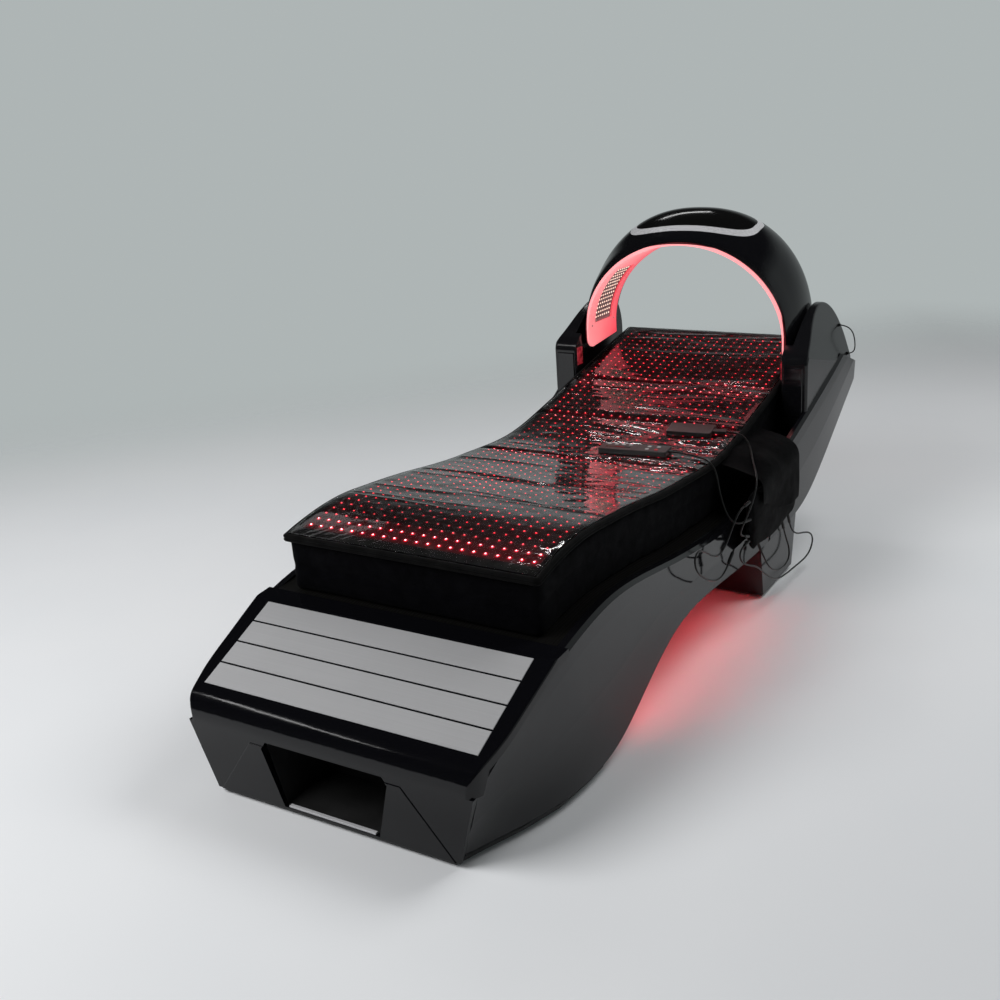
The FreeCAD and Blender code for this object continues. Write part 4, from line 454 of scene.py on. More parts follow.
# Arm panels: their red glow is painted, standing in for red light reflected on them
arm_panel_painted_glow = lit("arm_panel_painted_glow", (0.10, 0.002, 0.004, 1), (0.55, 0.03, 0.05, 1), 60.0, 0.35, 0.15)
mattress_cloth = woven("mattress_cloth", (0.0006, 0.0006, 0.0009, 1), (0.0024, 0.0024, 0.0034, 1),
                       1900.0, 0.00025, 0.010)
mat_fabric = make_mat_material()
piping_cloth = woven("piping_cloth", grey(0.002), grey(0.007), 2600.0, 0.0002, 0.02)
pouch_cloth = woven("pouch_cloth", grey(0.0008, 1.2), grey(0.0032, 1.15), 2100.0, 0.00025, 0.014)
clear_film = make_film_material()
lit_liner = make_liner_material()
board_grey = moulded("board_grey", (0.36, 0.27, 0.27, 1), (0.50, 0.38, 0.38, 1), 0.4, 0.6, 300.0)
mat_light = make_bead_material("mat_light", 4.2, 0.46, (0.9, 0.005, 0.015, 1), (1.0, 0.010, 0.030, 1))
mat_light_core = make_bead_material("mat_light_core", 16.0, 0.10, (0.9, 0.02, 0.04, 1),
                                    (1.0, 0.30, 0.34, 1))
arch_light = lit("arch_light", (1.0, 0.62, 0.48, 1), (1.0, 0.84, 0.70, 1), 90.0, 1.25, 0.3)
smoked_glass = make_glass_material()
pin_steel = brushed("pin_steel", grey(0.45), grey(0.65), 0.2, 0.35, (400.0, 400.0, 4.0))
bush_brass = brushed("bush_brass", (0.45, 0.32, 0.12, 1), (0.72, 0.55, 0.25, 1), 0.2, 0.35,
                     (400.0, 400.0, 4.0))
handset_plastic = moulded("handset_plastic", grey(0.020), grey(0.032), 0.34, 0.48, 1500.0, 0.00003)
remote_plastic = moulded("remote_plastic", grey(0.007), grey(0.013), 0.3, 0.45, 1500.0, 0.00003)
key_grey = moulded("key_grey", grey(0.34), grey(0.46), 0.45, 0.6, 1800.0, 0.00003)
key_red = moulded("key_red", (0.42, 0.015, 0.02, 1), (0.55, 0.03, 0.04, 1), 0.4, 0.55, 1800.0, 0.00003)
cord_rubber = moulded("cord_rubber", grey(0.003), grey(0.008), 0.35, 0.5, 900.0, 0.00004)

FINISHES = {
    gloss_black: ("side_shell_right", "side_shell_left", "pedestal", "arm_caps", "arch_shell"),
    nose_black: ("foot_nose", "front_fascia", "fascia_block"),
    arm_black: ("arm_right", "arm_left"),
    dark_inside: ("recess_tub", "belly_pan", "rear_pan", "head_panel", "front_bulkhead"),
    tread_metal: ("foot_treads",),
    trim_metal: ("recess_trim", "display_bezel"),
    frame_paint: ("base_plates", "frame_columns", "power_supply"),
    stained_board: ("deck", "deck_ribs"),
    pad_rubber: ("levelling_pads",),
    red_glow: ("glow_strips",),
    arm_panel_painted_glow: ("arm_panels",),
    lit_liner: ("arch_liner",),
    board_grey: ("light_boards",),
    smoked_glass: ("display_glass", "handset_window"),
    pin_steel: ("pivot_pins", "liner_screws"),
    bush_brass: ("pivot_bushes",),
    handset_plastic: ("handset_case", "mains_inlet", "power_rocker"),
    remote_plastic: ("second_handset", "second_handset_plug"),
    key_grey: tuple("handset_key_%d" % i for i in range(1, 8)),
    key_red: ("handset_key_8",),
    cord_rubber: ("cord_sleeves", "barrel_plug"),
}
for material, names in FINISHES.items():
    for name in names:
        mesh = nodes[name].data
        mesh.materials.clear()
        mesh.materials.append(material)


# Mesh helpers
def mesh_piece(name, points, faces, material, body):
    mesh = bpy.data.meshes.new(name)
    mesh.from_pydata([tuple(p) for p in points], [], faces)
    mesh.update()
    mesh.materials.append(material)
    mesh.shade_smooth()
    piece = bpy.data.objects.new(name, mesh)
    scene.collection.objects.link(piece)
    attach(piece, body)
    return piece


def grid_faces(rows, columns, start=0, flip=False):
    faces = []
    for r in range(rows - 1):
        for c in range(columns - 1):
            a = start + r * columns + c
            quad = (a, a + 1, a + columns + 1, a + columns)
            faces.append(tuple(reversed(quad)) if flip else quad)
    return faces


def ease(value, low, high):
    t = min(1.0, max(0.0, (value - low) / (high - low)))
    return t * t * (3.0 - 2.0 * t)


def tree_of(name):
    mesh = nodes[name].data
    return BVHTree.FromPolygons([v.co for v in mesh.vertices], [tuple(p.vertices) for p in mesh.polygons])


# The lying surface, read from the light mat just inside its ends and smoothed
READ_MARGIN = 0.0005


def read_lying_surface():
    tree = tree_of("light_mat")
    low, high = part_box("light_mat")
    count = 200
    heights = []
    for i in range(count + 1):
        y = low.y + READ_MARGIN + (high.y - low.y - 2 * READ_MARGIN) * i / count
        hit = tree.ray_cast(Vector((0.001, y, high.z + 1.0)), Vector((0, 0, -1)))
        heights.append(hit[0].z)
    for _ in range(3):
        heights = [heights[0]] + [
            (heights[i - 1] + 2 * heights[i] + heights[i + 1]) / 4 for i in range(1, count)
        ] + [heights[-1]]
    for i in range(count + 1):
        inward = (high.y - low.y) * i / count
        heights[i] -= FOOT_DROP * max(0.0, 1.0 - inward / FOOT_REACH) ** 2
    return low.y, high.y, heights


mat_start, mat_end, mat_heights = read_lying_surface()


def lying_height(y):
    place = (y - mat_start) / (mat_end - mat_start) * (len(mat_heights) - 1)
    i = min(len(mat_heights) - 2, max(0, int(math.floor(place))))
    share = place - i
    return mat_heights[i] + share * (mat_heights[i + 1] - mat_heights[i])


def held_height(y):
    """Lying height with y held between the mat's ends."""
    return lying_height(min(mat_end, max(mat_start, y)))


def slope_at(y, reach):
    return (lying_height(y + reach) - lying_height(y - reach)) / (2 * reach)


def fold_drop(y):
    drop = 0.0
    for place in FOLD_STATIONS:
        away = (y - station(place)) / FOLD_HALF_WIDTH
        drop += math.exp(-away * away)
    return FOLD_DEPTH * drop


# Rows of lights keep their pitch along the wavy surface
def light_rows():
    rows = []
    y = station(LIGHT_FIRST)
    while y < station(LIGHT_LAST):
        rows.append(y)
        slope = slope_at(y, 0.01)
        y += LIGHT_PITCH / math.sqrt(1.0 + slope * slope)
    return rows


rows_of_light = light_rows()
column_pitch = 2.0 * LIGHT_HALF_SPAN / (LIGHT_COLUMNS - 1)


def row_count_at(y):
    """Rows counted along the bed, with a row of lights at each half."""
    if y <= rows_of_light[0]:
        return 0.5 + (y - rows_of_light[0]) / LIGHT_PITCH
    for i in range(len(rows_of_light) - 1):
        if y <= rows_of_light[i + 1]:
            return i + 0.5 + (y - rows_of_light[i]) / (rows_of_light[i + 1] - rows_of_light[i])
    return len(rows_of_light) - 0.5 + (y - rows_of_light[-1]) / LIGHT_PITCH


def mat_surface(y):
    return lying_height(y) - MAT_SUNK - fold_drop(y)


def make_mat():
    low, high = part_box("light_mat")
    columns, rows = 25, 320
    points = []
    counts = []
    for layer in (0, 1):
        for r in range(rows):
            y = low.y + (high.y - low.y) * r / (rows - 1)
            for c in range(columns):
                x = low.x + (high.x - low.x) * c / (columns - 1)
                points.append((x, y, mat_surface(y) if layer == 0 else lying_height(y) - MAT_DEEP))
                counts.append((x / column_pitch + 0.5, row_count_at(y)))
    size = columns * rows
    faces = grid_faces(rows, columns) + grid_faces(rows, columns, size, True)
    ring = list(range(columns))
    ring += [r * columns + columns - 1 for r in range(1, rows)]
    ring += [(rows - 1) * columns + c for c in range(columns - 2, -1, -1)]
    ring += [r * columns for r in range(rows - 2, 0, -1)]
    for i in range(len(ring)):
        a, b = ring[i], ring[(i + 1) % len(ring)]
        faces.append((b, a, a + size, b + size))
    mat = mesh_piece("mat_core", points, faces, mat_fabric, "bed")
    uv = mat.data.uv_layers.new(name="rows")
    for loop in mat.data.loops:
        uv.data[loop.index].uv = counts[loop.vertex_index]
    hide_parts("light_mat")


def dome(points, faces, centre, across, along, up, radius, rise):
    """Adds a small dome to the lists: two rings of corners and a tip."""
    start = len(points)
    for share, lift in ((1.0, 0.0), (0.55, 0.75)):
        for i in range(DOME_SIDES):
            angle = 2.0 * math.pi * i / DOME_SIDES
            out = across * math.cos(angle) + along * math.sin(angle)
            points.append(centre + out * (radius * share) + up * (rise * lift))
    points.append(centre + up * rise)
    upper = start + DOME_SIDES
    for i in range(DOME_SIDES):
        j = (i + 1) % DOME_SIDES
        faces.append((start + i, start + j, upper + j, upper + i))
        faces.append((upper + i, upper + j, upper + DOME_SIDES))


def glow_at(along):
    """Share of the full glow at a station: full at the foot and just ahead of each fold."""
    share = 1.0 - ease(along, *FOOT_GLOW)
    for place, reach in zip(FOLD_STATIONS, FOLD_GLOW):
        away = abs(along - place + FOLD_LEAD)
        share = max(share, FOLD_POWER - FOLD_POWER * ease(away, FOLD_CORE * reach, reach))
    return share


def make_mat_lights():
    points = []
    faces = []
    for y in rows_of_light:
        slope = slope_at(y, 0.005)
        along = Vector((0, 1, slope)).normalized()
        up = Vector((0, -slope, 1)).normalized()
        radius = LIGHT_RADIUS + LIGHT_SWELL * glow_at(y - TO_MIDDLE)
        for c in range(LIGHT_COLUMNS):
            x = -LIGHT_HALF_SPAN + c * column_pitch
            centre = Vector((x, y, mat_surface(y) - LIGHT_SUNK))
            dome(points, faces, centre, Vector((1, 0, 0)), along, up, radius, LIGHT_RISE)
    lights = mesh_piece("mat_lights", points, faces, mat_light, "bed")
    lights.data.materials.append(mat_light_core)
    for face in lights.data.polygons:
        face.material_index = 1 if len(face.vertices) == 3 else 0


def edge_path(half, start, end, corner, step):
    """Points and outward directions round a rounded rectangle, in plan."""
    path = []
    corners = ((half, start, -90), (half, end, 0), (-half, end, 90), (-half, start, 180))
    for x, y, first in corners:
        cx = x - math.copysign(corner, x)
        cy = y + corner if y == start else y - corner
        for i in range(7):
            angle = math.radians(first + 90.0 * i / 6)
            nx, ny = math.cos(angle), math.sin(angle)
            path.append((cx + corner * nx, cy + corner * ny, nx, ny))
    full = []
    for i, here in enumerate(path):
        after = path[(i + 1) % len(path)]
        length = math.hypot(after[0] - here[0], after[1] - here[1])
        count = max(1, int(length / step))
        for k in range(count):
            t = k / count
            full.append(tuple(here[j] + t * (after[j] - here[j]) for j in range(4)))
    return full


# Bound edge of the mat: plan corner and step, half sizes of its section, and its pinched seam
EDGE_CORNER = 0.016
EDGE_STEP = 0.008
EDGE_HALF_WIDE = 0.0085
EDGE_HALF_TALL = 0.0095
EDGE_SUNK = 0.0093
EDGE_PINCH = 0.0042
EDGE_PINCH_SPREAD = 0.24
EDGE_WOBBLE = 0.0014


def make_mat_edge():
    """Two rolls of piping with a pinched seam between them."""
    low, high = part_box("mat_binding")
    path = edge_path(high.x, low.y, high.y, EDGE_CORNER, EDGE_STEP)
    around = 28
    points = []
    for x, y, nx, ny in path:
        wobble = noise.noise(Vector((x * 9.0, y * 9.0, 2.0))) * EDGE_WOBBLE
        top = held_height(y)
        for k in range(around):
            angle = 2.0 * math.pi * k / around
            out = -EDGE_HALF_WIDE + EDGE_HALF_WIDE * math.cos(angle)
            lift = -EDGE_SUNK + EDGE_HALF_TALL * math.sin(angle)
            if math.cos(angle) > 0:
                out -= EDGE_PINCH * math.exp(-(math.sin(angle) / EDGE_PINCH_SPREAD) ** 2)
            points.append((x + nx * (out + wobble), y + ny * (out + wobble), top + lift + wobble * 0.6))
    faces = []
    count = len(path)
    for i in range(count):
        j = (i + 1) % count
        for k in range(around):
            n = (k + 1) % around
            faces.append((i * around + k, j * around + k, j * around + n, i * around + n))
    edge = mesh_piece("mat_edge", points, faces, piping_cloth, "bed")
    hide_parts("mat_binding")


# The film lies slack on the mat: cross wrinkles, taller near the handsets, flat under them
WRINKLE_SEED = 11
LONG_CREASES = 58
FOLD_CREASES = 9
SLACK_CREASES = 4
GATHERS = 17
GATHER_REACH = 0.12
GATHER_HALF_WIDTH = 0.0052
SLACK_HEIGHT = 0.0012
DENT_HEIGHT = 0.0008
FLAT_MARGIN = 0.006
FLAT_EASE = 0.025

# Where the film lies slack round the handsets: stations from and to, then places along x
HANDSET_SLACK = ((0.83, 0.94, -0.05, 0.30), (1.05, 1.19, -0.16, 0.06), (1.03, 1.19, 0.20, 0.32))

# Sharp crumples: middle along x, station, reach each way, and height
CRUMPLES = (
    (0.315, 0.050, 0.060, 0.055, 0.0060),
    (0.300, 0.905, 0.060, 0.050, 0.0030),
    (0.270, 1.440, 0.080, 0.035, 0.0040),
)


def flat_places():
    places = []
    for name in ("handset_case", "second_handset", "second_handset_plug"):
        low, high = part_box(name)
        places.append((low.x - FLAT_MARGIN, high.x + FLAT_MARGIN, low.y - FLAT_MARGIN, high.y + FLAT_MARGIN))
    return places


def cross_wrinkles():
    """Long creases across the bed: middle station, lean, height, half width, and reach along x."""
    pick = random.Random(WRINKLE_SEED)
    creases = []
    for _ in range(LONG_CREASES):
        place = pick.uniform(0.20, 1.86)
        lean = pick.uniform(-0.10, 0.10)
        height = pick.uniform(0.0007, 0.0026)
        half = pick.uniform(0.0045, 0.0095)
        middle = pick.uniform(-0.30, 0.36)
        reach = pick.uniform(0.10, 0.34)
        creases.append((place, lean, height, half, middle, reach))
    for fold in FOLD_STATIONS:
        for _ in range(FOLD_CREASES):
            place = fold + pick.uniform(-0.075, 0.055)
            lean = pick.uniform(-0.16, 0.16)
            height = pick.uniform(0.0018, 0.0042)
            half = pick.uniform(0.0055, 0.0085)
            creases.append((place, lean, height, half, pick.uniform(-0.30, 0.34), pick.uniform(0.07, 0.20)))
    for low, high, near, far in HANDSET_SLACK:
        for _ in range(SLACK_CREASES):
            place = pick.uniform(low, high)
            lean = pick.uniform(-0.24, 0.06)
            creases.append((place, lean, pick.uniform(0.0050, 0.0080), pick.uniform(0.0095, 0.0125),
                            pick.uniform(near, far), pick.uniform(0.09, 0.16)))
    return creases


def end_gathers():
    """Short creases that run in from the foot edge: place along x, lean, length, height."""
    pick = random.Random(WRINKLE_SEED + 1)
    gathers = []
    for i in range(GATHERS):
        x = -0.31 + 0.040 * i + pick.uniform(-0.012, 0.012)
        lean = pick.uniform(0.5, 1.5)
        length = pick.uniform(0.035, 0.085)
        gathers.append((x, lean, length, pick.uniform(0.0010, 0.0026)))
    return gathers


def crinkled(x, y):
    """Sharp crumples at the foot corner, by the first handset and at the last fold."""
    height = 0.0
    for cx, cy, reach_x, reach_y, size in CRUMPLES:
        away = math.hypot((x - cx) / reach_x, (y - station(cy)) / reach_y)
        if away < 1.0:
            sharp = noise.noise(Vector((x * 13.0 + y * 6.0, y * 46.0 - x * 9.0, 4.0)))
            height += size * (1.0 - abs(sharp)) ** 4 * ease(1.0 - away, 0.0, 0.5)
    return height


def film_wrinkle(x, y, creases, gathers, flats):
    slack = noise.noise(Vector((x * 3.0, y * 5.0, 9.0)))
    dents = noise.noise(Vector((x * 17.0, y * 30.0, 2.0)))
    height = SLACK_HEIGHT * (slack + 0.6) + DENT_HEIGHT * (dents + 0.6)
    along = y - TO_MIDDLE
    for place, lean, tall, half, middle, reach in creases:
        share = abs(x - middle) / reach
        if share < 1.0:
            bend = 0.010 * math.sin(9.0 * x + 40.0 * place)
            away = (along - place - lean * (x - middle) - bend) / half
            if abs(away) < 3.0:
                steep = away if away < 0 else away * 1.9
                height += tall * (1.0 - share * share) / (1.0 + steep * steep)
    if along < GATHER_REACH:
        for gx, lean, length, tall in gathers:
            inward = along - FILM_RIM
            away = (x - gx - lean * inward) / GATHER_HALF_WIDTH
            if abs(away) < 3.5 and inward < length:
                height += tall * math.exp(-away * away) * (1.0 - inward / length)
    height += crinkled(x, y)
    for x0, x1, y0, y1 in flats:
        away = max(x0 - x, x - x1, y0 - y, y - y1, 0.0)
        height *= ease(away, 0.0, FLAT_EASE)
    return height


def make_film():
    low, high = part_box("clear_cover")
    columns, rows = 150, 640
    width = high.x - low.x - 2 * FILM_RIM
    depth = high.y - low.y - 2 * FILM_RIM
    flats = flat_places()
    creases = cross_wrinkles()
    gathers = end_gathers()
    points = []
    for r in range(rows):
        y = low.y + FILM_RIM + depth * r / (rows - 1)
        for c in range(columns):
            x = low.x + FILM_RIM + width * c / (columns - 1)
            edge = min(x - low.x, high.x - x, y - low.y, high.y - y)
            wrinkle = film_wrinkle(x, y, creases, gathers, flats)
            lift = FILM_LIFT + wrinkle * ease(edge, FILM_RIM, FILM_EDGE_EASE)
            points.append((x, y, held_height(y) + lift - FILM_FOLD_SHARE * fold_drop(y)))
    film = mesh_piece("clear_film", points, grid_faces(rows, columns), clear_film, "bed")
    thick = film.modifiers.new("thickness", "SOLIDIFY")
    thick.thickness = FILM_THICK
    thick.offset = 1.0
    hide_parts("clear_cover")


# Stuffed pieces: remeshed, blown up a little as cloth, then held near their solid
def puffed(name, source, voxel, pressure, cap, shrink, material):
    piece = bpy.data.objects.new(name, source)
    scene.collection.objects.link(piece)
    skin = piece.modifiers.new("skin", "REMESH")
    skin.mode = "VOXEL"
    skin.voxel_size = voxel
    apply_modifiers(piece)
    mesh = piece.data
    normals = [v.normal.copy() for v in mesh.vertices]
    rest = []
    for vertex, normal in zip(mesh.vertices, normals):
        vertex.co -= normal * shrink
        rest.append(vertex.co.copy())
    mesh.update()
    cloth = piece.modifiers.new("puff", "CLOTH")
    cloth.settings.quality = 4
    cloth.settings.mass = 0.25
    cloth.settings.tension_stiffness = 12.0
    cloth.settings.compression_stiffness = 12.0
    cloth.settings.shear_stiffness = 6.0
    cloth.settings.bending_stiffness = 0.5
    cloth.settings.use_pressure = True
    cloth.settings.uniform_pressure_force = pressure
    cloth.settings.effector_weights.gravity = 0.0
    for step in range(1, 21):
        scene.frame_set(step)
    apply_modifiers(piece)
    scene.frame_set(1)
    mesh = piece.data
    for vertex, start in zip(mesh.vertices, rest):
        move = vertex.co - start
        if move.length > cap:
            vertex.co = start + move * (cap / move.length)
    mesh.update()
    mesh.materials.clear()
    mesh.materials.append(material)
    mesh.shade_smooth()
    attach(piece, "bed")
    return piece


def apply_modifiers(piece):
    shown = bpy.context.evaluated_depsgraph_get()
    made = bpy.data.meshes.new_from_object(piece.evaluated_get(shown))
    piece.modifiers.clear()
    piece.data = made


# Mattress: its top below the mat's, its depth, and the band along its sides that is drawn in
MATTRESS_DROP = 0.020
MATTRESS_DEEP = 0.1395
SIDE_BAND = 0.030
SIDE_RIPPLE = 0.0022

# Sewn lines round the mattress: drop from its top, depth and half width
MATTRESS_SEAMS = ((0.062, 0.0045, 0.006), (0.128, 0.0030, 0.005))


def make_mattress():
    mattress = puffed("mattress_pad", nodes["mattress"].data.copy(), 0.010, 4.0, 0.006, 0.004,
                      mattress_cloth)
    low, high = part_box("mattress")
    for vertex in mattress.data.vertices:
        x, y, z = vertex.co
        top = held_height(y) - MATTRESS_DROP
        vertex.co.z = min(top - 0.0005, max(z, top - MATTRESS_DEEP))
        drop = top - vertex.co.z
        side = max(abs(x) - (high.x - SIDE_BAND), low.y + SIDE_BAND - y, y - high.y + SIDE_BAND)
        if side > 0:
            seam = 0.0
            for place, depth, half in MATTRESS_SEAMS:
                seam += depth * math.exp(-((drop - place) / half) ** 2)
            ripple = noise.noise(Vector((x * 7.0, y * 7.0, z * 16.0))) * SIDE_RIPPLE
            inward = ease(side, 0.0, 0.02) * (seam + ripple)
            if abs(x) > high.x - SIDE_BAND:
                vertex.co.x -= math.copysign(inward, x)
            else:
                vertex.co.y += inward if y < 0 else -inward
    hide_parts("mattress")


# Pouch: a slack bag hung from the mattress side, with its flap thrown over it
BAG_TOP = 0.412
BAG_LOW = 0.205
BAG_FRONT = 0.940
BAG_BACK = 1.368
BAG_HALF = 0.013
FLAP_FLAT = (0.320, 0.240)
FLAP_START = 1.020
FLAP_TOP = 0.474
FLAP_BEND = 0.392
FLAP_SLOPE = 0.034
FLAP_TURN = 0.62
FLAP_THICK = 0.0016


def make_pouch():
    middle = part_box("side_pouch")[1].x - BAG_HALF
    front, back = station(BAG_FRONT), station(BAG_BACK)
    columns, rows = 44, 24
    points = []
    for side in (1.0, -1.0):
        for r in range(rows):
            v = r / (rows - 1)
            for c in range(columns):
                u = c / (columns - 1)
                corner = max(0.0, (abs(2 * u - 1) - 0.72) / 0.28)
                bottom = BAG_LOW + 0.050 * corner ** 2.2 + 0.006 * math.sin(u * 9.0)
                top = BAG_TOP - 0.010 * math.sin(math.pi * u) - 0.012 * corner
                z = bottom + (top - bottom) * v
                rim = (1 - abs(2 * u - 1) ** 6) * (1 - abs(2 * v - 1) ** 5)
                belly = 0.0075 + 0.0055 * math.sin(math.pi * min(1.0, (1 - v) * 1.15))
                fold = noise.noise(Vector((u * 5.0, v * 2.6 + u * 2.0, 1.7 + side))) * 0.0030
                points.append((middle + side * rim * (belly + fold), front + (back - front) * u, z))
    size = rows * columns
    faces = grid_faces(rows, columns) + grid_faces(rows, columns, size, True)
    mesh = bpy.data.meshes.new("pouch")
    mesh.from_pydata(points, [], faces)
    knit = bmesh.new()
    knit.from_mesh(mesh)
    bmesh.ops.remove_doubles(knit, verts=knit.verts, dist=0.0004)
    bmesh.ops.recalc_face_normals(knit, faces=knit.faces)
    knit.to_mesh(mesh)
    knit.free()
    pouch = puffed("cable_pouch", mesh, 0.0045, 3.0, 0.006, 0.0005, pouch_cloth)
    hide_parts("side_pouch")


def make_flap():
    """Cloth flap from under the mat's edge, out over the bag, with soft folds and a slanting hem."""
    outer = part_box("side_pouch")[1].x + 0.009
    hang_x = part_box("mattress")[1].x + 0.0020
    columns, rows = 52, 60
    points = []
    for r in range(rows):
        v = r / (rows - 1)
        for c in range(columns):
            u = c / (columns - 1)
            hem = 0.040 + 0.075 * ease(u, 0.10, 0.80)
            fold = math.sin(6.4 * u + 2.0 * v + 0.4)
            crease = noise.noise(Vector((u * 3.4, v * 2.2 + u * 1.2, 6.3)))
            high = FLAP_TOP - 0.020 * (1.0 - ease(u, 0.0, 0.35))
            if v < FLAP_TURN:
                t = v / FLAP_TURN
                x = hang_x + (outer - hang_x) * math.sin(t * math.pi / 2) ** 0.9
                steep = (1.0 - math.cos(t * math.pi / 2)) ** 2.2
                slope = FLAP_SLOPE * t + (high - FLAP_SLOPE - FLAP_BEND) * steep
                z = high - slope + 0.007 * crease * math.sin(math.pi * t) + 0.004 * fold * t
            else:
                t = (v - FLAP_TURN) / (1.0 - FLAP_TURN)
                x = outer + 0.006 * t * fold + 0.004 * crease * t
                z = FLAP_BEND + 0.004 * fold - hem * t
            sway = 0.014 * fold * v + 0.007 * crease * v
            points.append((x, station(FLAP_START + FLAP_FLAT[0] * u - 0.035 * v) + sway, z))
    flap = mesh_piece("pouch_flap", points, grid_faces(rows, columns), pouch_cloth, "bed")
    thick = flap.modifiers.new("thickness", "SOLIDIFY")
    thick.thickness = FLAP_THICK
    smooth = flap.modifiers.new("smooth", "SUBSURF")
    smooth.levels = 1
    smooth.render_levels = 1


# Cords: the routes' points as bed stations, in metres
HANDSET_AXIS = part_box("handset_case")[0].z + 0.0075
SECOND_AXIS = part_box("second_handset_plug")[0].z + 0.0066
ARM_HIGH = 0.4452
ARM_LOW = 0.4753
ROUTES = {
    "cord_handset": [
        (0.2197, 0.9980, HANDSET_AXIS), (0.248, 1.000, HANDSET_AXIS - 0.0005),
        (0.300, 0.986, HANDSET_AXIS - 0.001), (0.350, 0.960, HANDSET_AXIS - 0.0015),
        (0.382, 0.929, 0.462), (0.400, 0.903, 0.422), (0.418, 0.888, 0.382),
        (0.438, 0.881, 0.348), (0.459, 0.893, 0.331), (0.466, 0.921, 0.330),
    ],
    "cord_second_handset": [
        (0.3140, 1.1797, SECOND_AXIS), (0.350, 1.178, SECOND_AXIS),
        (0.382, 1.160, 0.495), (0.406, 1.130, 0.478),
        (0.426, 1.090, 0.462), (0.450, 1.044, 0.450), (0.472, 1.000, 0.443), (0.488, 0.958, 0.427),
        (0.492, 0.920, 0.396), (0.484, 0.898, 0.360), (0.472, 0.886, 0.326), (0.464, 0.894, 0.298),
        (0.466, 0.921, 0.288),
    ],
    "cord_long_loop": [
        (0.466, 1.310, 0.193), (0.469, 1.318, 0.166), (0.476, 1.348, 0.142), (0.486, 1.396, 0.132),
        (0.492, 1.440, 0.116), (0.494, 1.462, 0.086), (0.492, 1.442, 0.056), (0.490, 1.400, 0.046),
        (0.488, 1.346, 0.048), (0.487, 1.288, 0.053), (0.486, 1.228, 0.058), (0.486, 1.168, 0.067),
        (0.485, 1.114, 0.086), (0.484, 1.064, 0.114), (0.482, 1.020, 0.148), (0.480, 0.978, 0.178),
        (0.474, 0.936, 0.196), (0.468, 0.903, 0.214), (0.464, 0.890, 0.238), (0.464, 0.903, 0.256),
        (0.466, 0.921, 0.259),
    ],
    "cord_short_loop": [
        (0.466, 1.255, 0.193), (0.470, 1.262, 0.164), (0.479, 1.268, 0.130), (0.486, 1.252, 0.104),
        (0.488, 1.212, 0.094), (0.488, 1.166, 0.097), (0.487, 1.122, 0.110), (0.485, 1.084, 0.132),
        (0.478, 1.062, 0.161), (0.466, 1.058, 0.193),
    ],
    "cord_with_plug": [
        (0.466, 0.921, 0.376), (0.462, 0.896, 0.372), (0.457, 0.858, 0.340), (0.456, 0.816, 0.304),
        (0.456, 0.768, 0.288), (0.456, 0.716, 0.304), (0.455, 0.668, 0.336), (0.455, 0.622, 0.356),
        (0.458, 0.590, 0.344), (0.463, 0.590, 0.312), (0.466, 0.628, 0.280), (0.468, 0.672, 0.254),
        (0.470, 0.718, 0.238), (0.472, 0.758, 0.242), (0.474, 0.782, 0.262),
    ],
    "cord_arm_loop": [
        (ARM_HIGH, 1.880, 0.694), (ARM_HIGH + 0.0215, 1.882, 0.691),
        (ARM_HIGH + 0.0405, 1.884, 0.673), (ARM_LOW + 0.0175, 1.885, 0.645),
        (ARM_LOW + 0.0195, 1.884, 0.618), (ARM_LOW + 0.0135, 1.882, 0.603),
        (ARM_LOW, 1.880, 0.600),
    ],
}
# Cord diameter, length along its line, and what it ends in
CORD_FACTS = {
    "cord_handset": (0.005, 0.378, "object"),
    "cord_second_handset": (0.005, 0.497, "object"),
    "cord_long_loop": (0.005, 0.876, "object"),
    "cord_short_loop": (0.005, 0.341, "object"),
    "cord_with_plug": (0.005, 0.620, "plug"),
    "cord_arm_loop": (0.004, 0.132, "object"),
}


def make_cord(node):
    diameter, length, end = CORD_FACTS[node]
    curve = bpy.data.curves.new(node + "_line", "CURVE")
    curve.dimensions = "3D"
    curve.bevel_depth = diameter / 2.0
    curve.bevel_resolution = 5
    curve.resolution_u = 10
    curve.use_fill_caps = True
    line = curve.splines.new("NURBS")
    route = ROUTES[node]
    line.points.add(len(route) - 1)
    for point, (x, y, z) in zip(line.points, route):
        point.co = (x, station(y), z, 1.0)
    line.order_u = 3
    line.use_endpoint_u = True
    curve.materials.append(cord_rubber)
    cord = bpy.data.objects.new(node + "_line", curve)
    scene.collection.objects.link(cord)
    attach(cord, "bed")
    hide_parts(node)


# Points of light on the boards in the arch, found on the boards' inner face; rows fan out, in degrees
BOARD_LIGHT_PITCH = 0.0160
BOARD_LIGHT_RADIUS = 0.0034
BOARD_LIGHT_COLUMNS = 7
BOARD_LIGHT_ROWS = 14
BOARD_LIGHT_FIRST = 6.0
BOARD_LIGHT_FAN = 36.0
FAN_BELOW_CROWN = 0.310


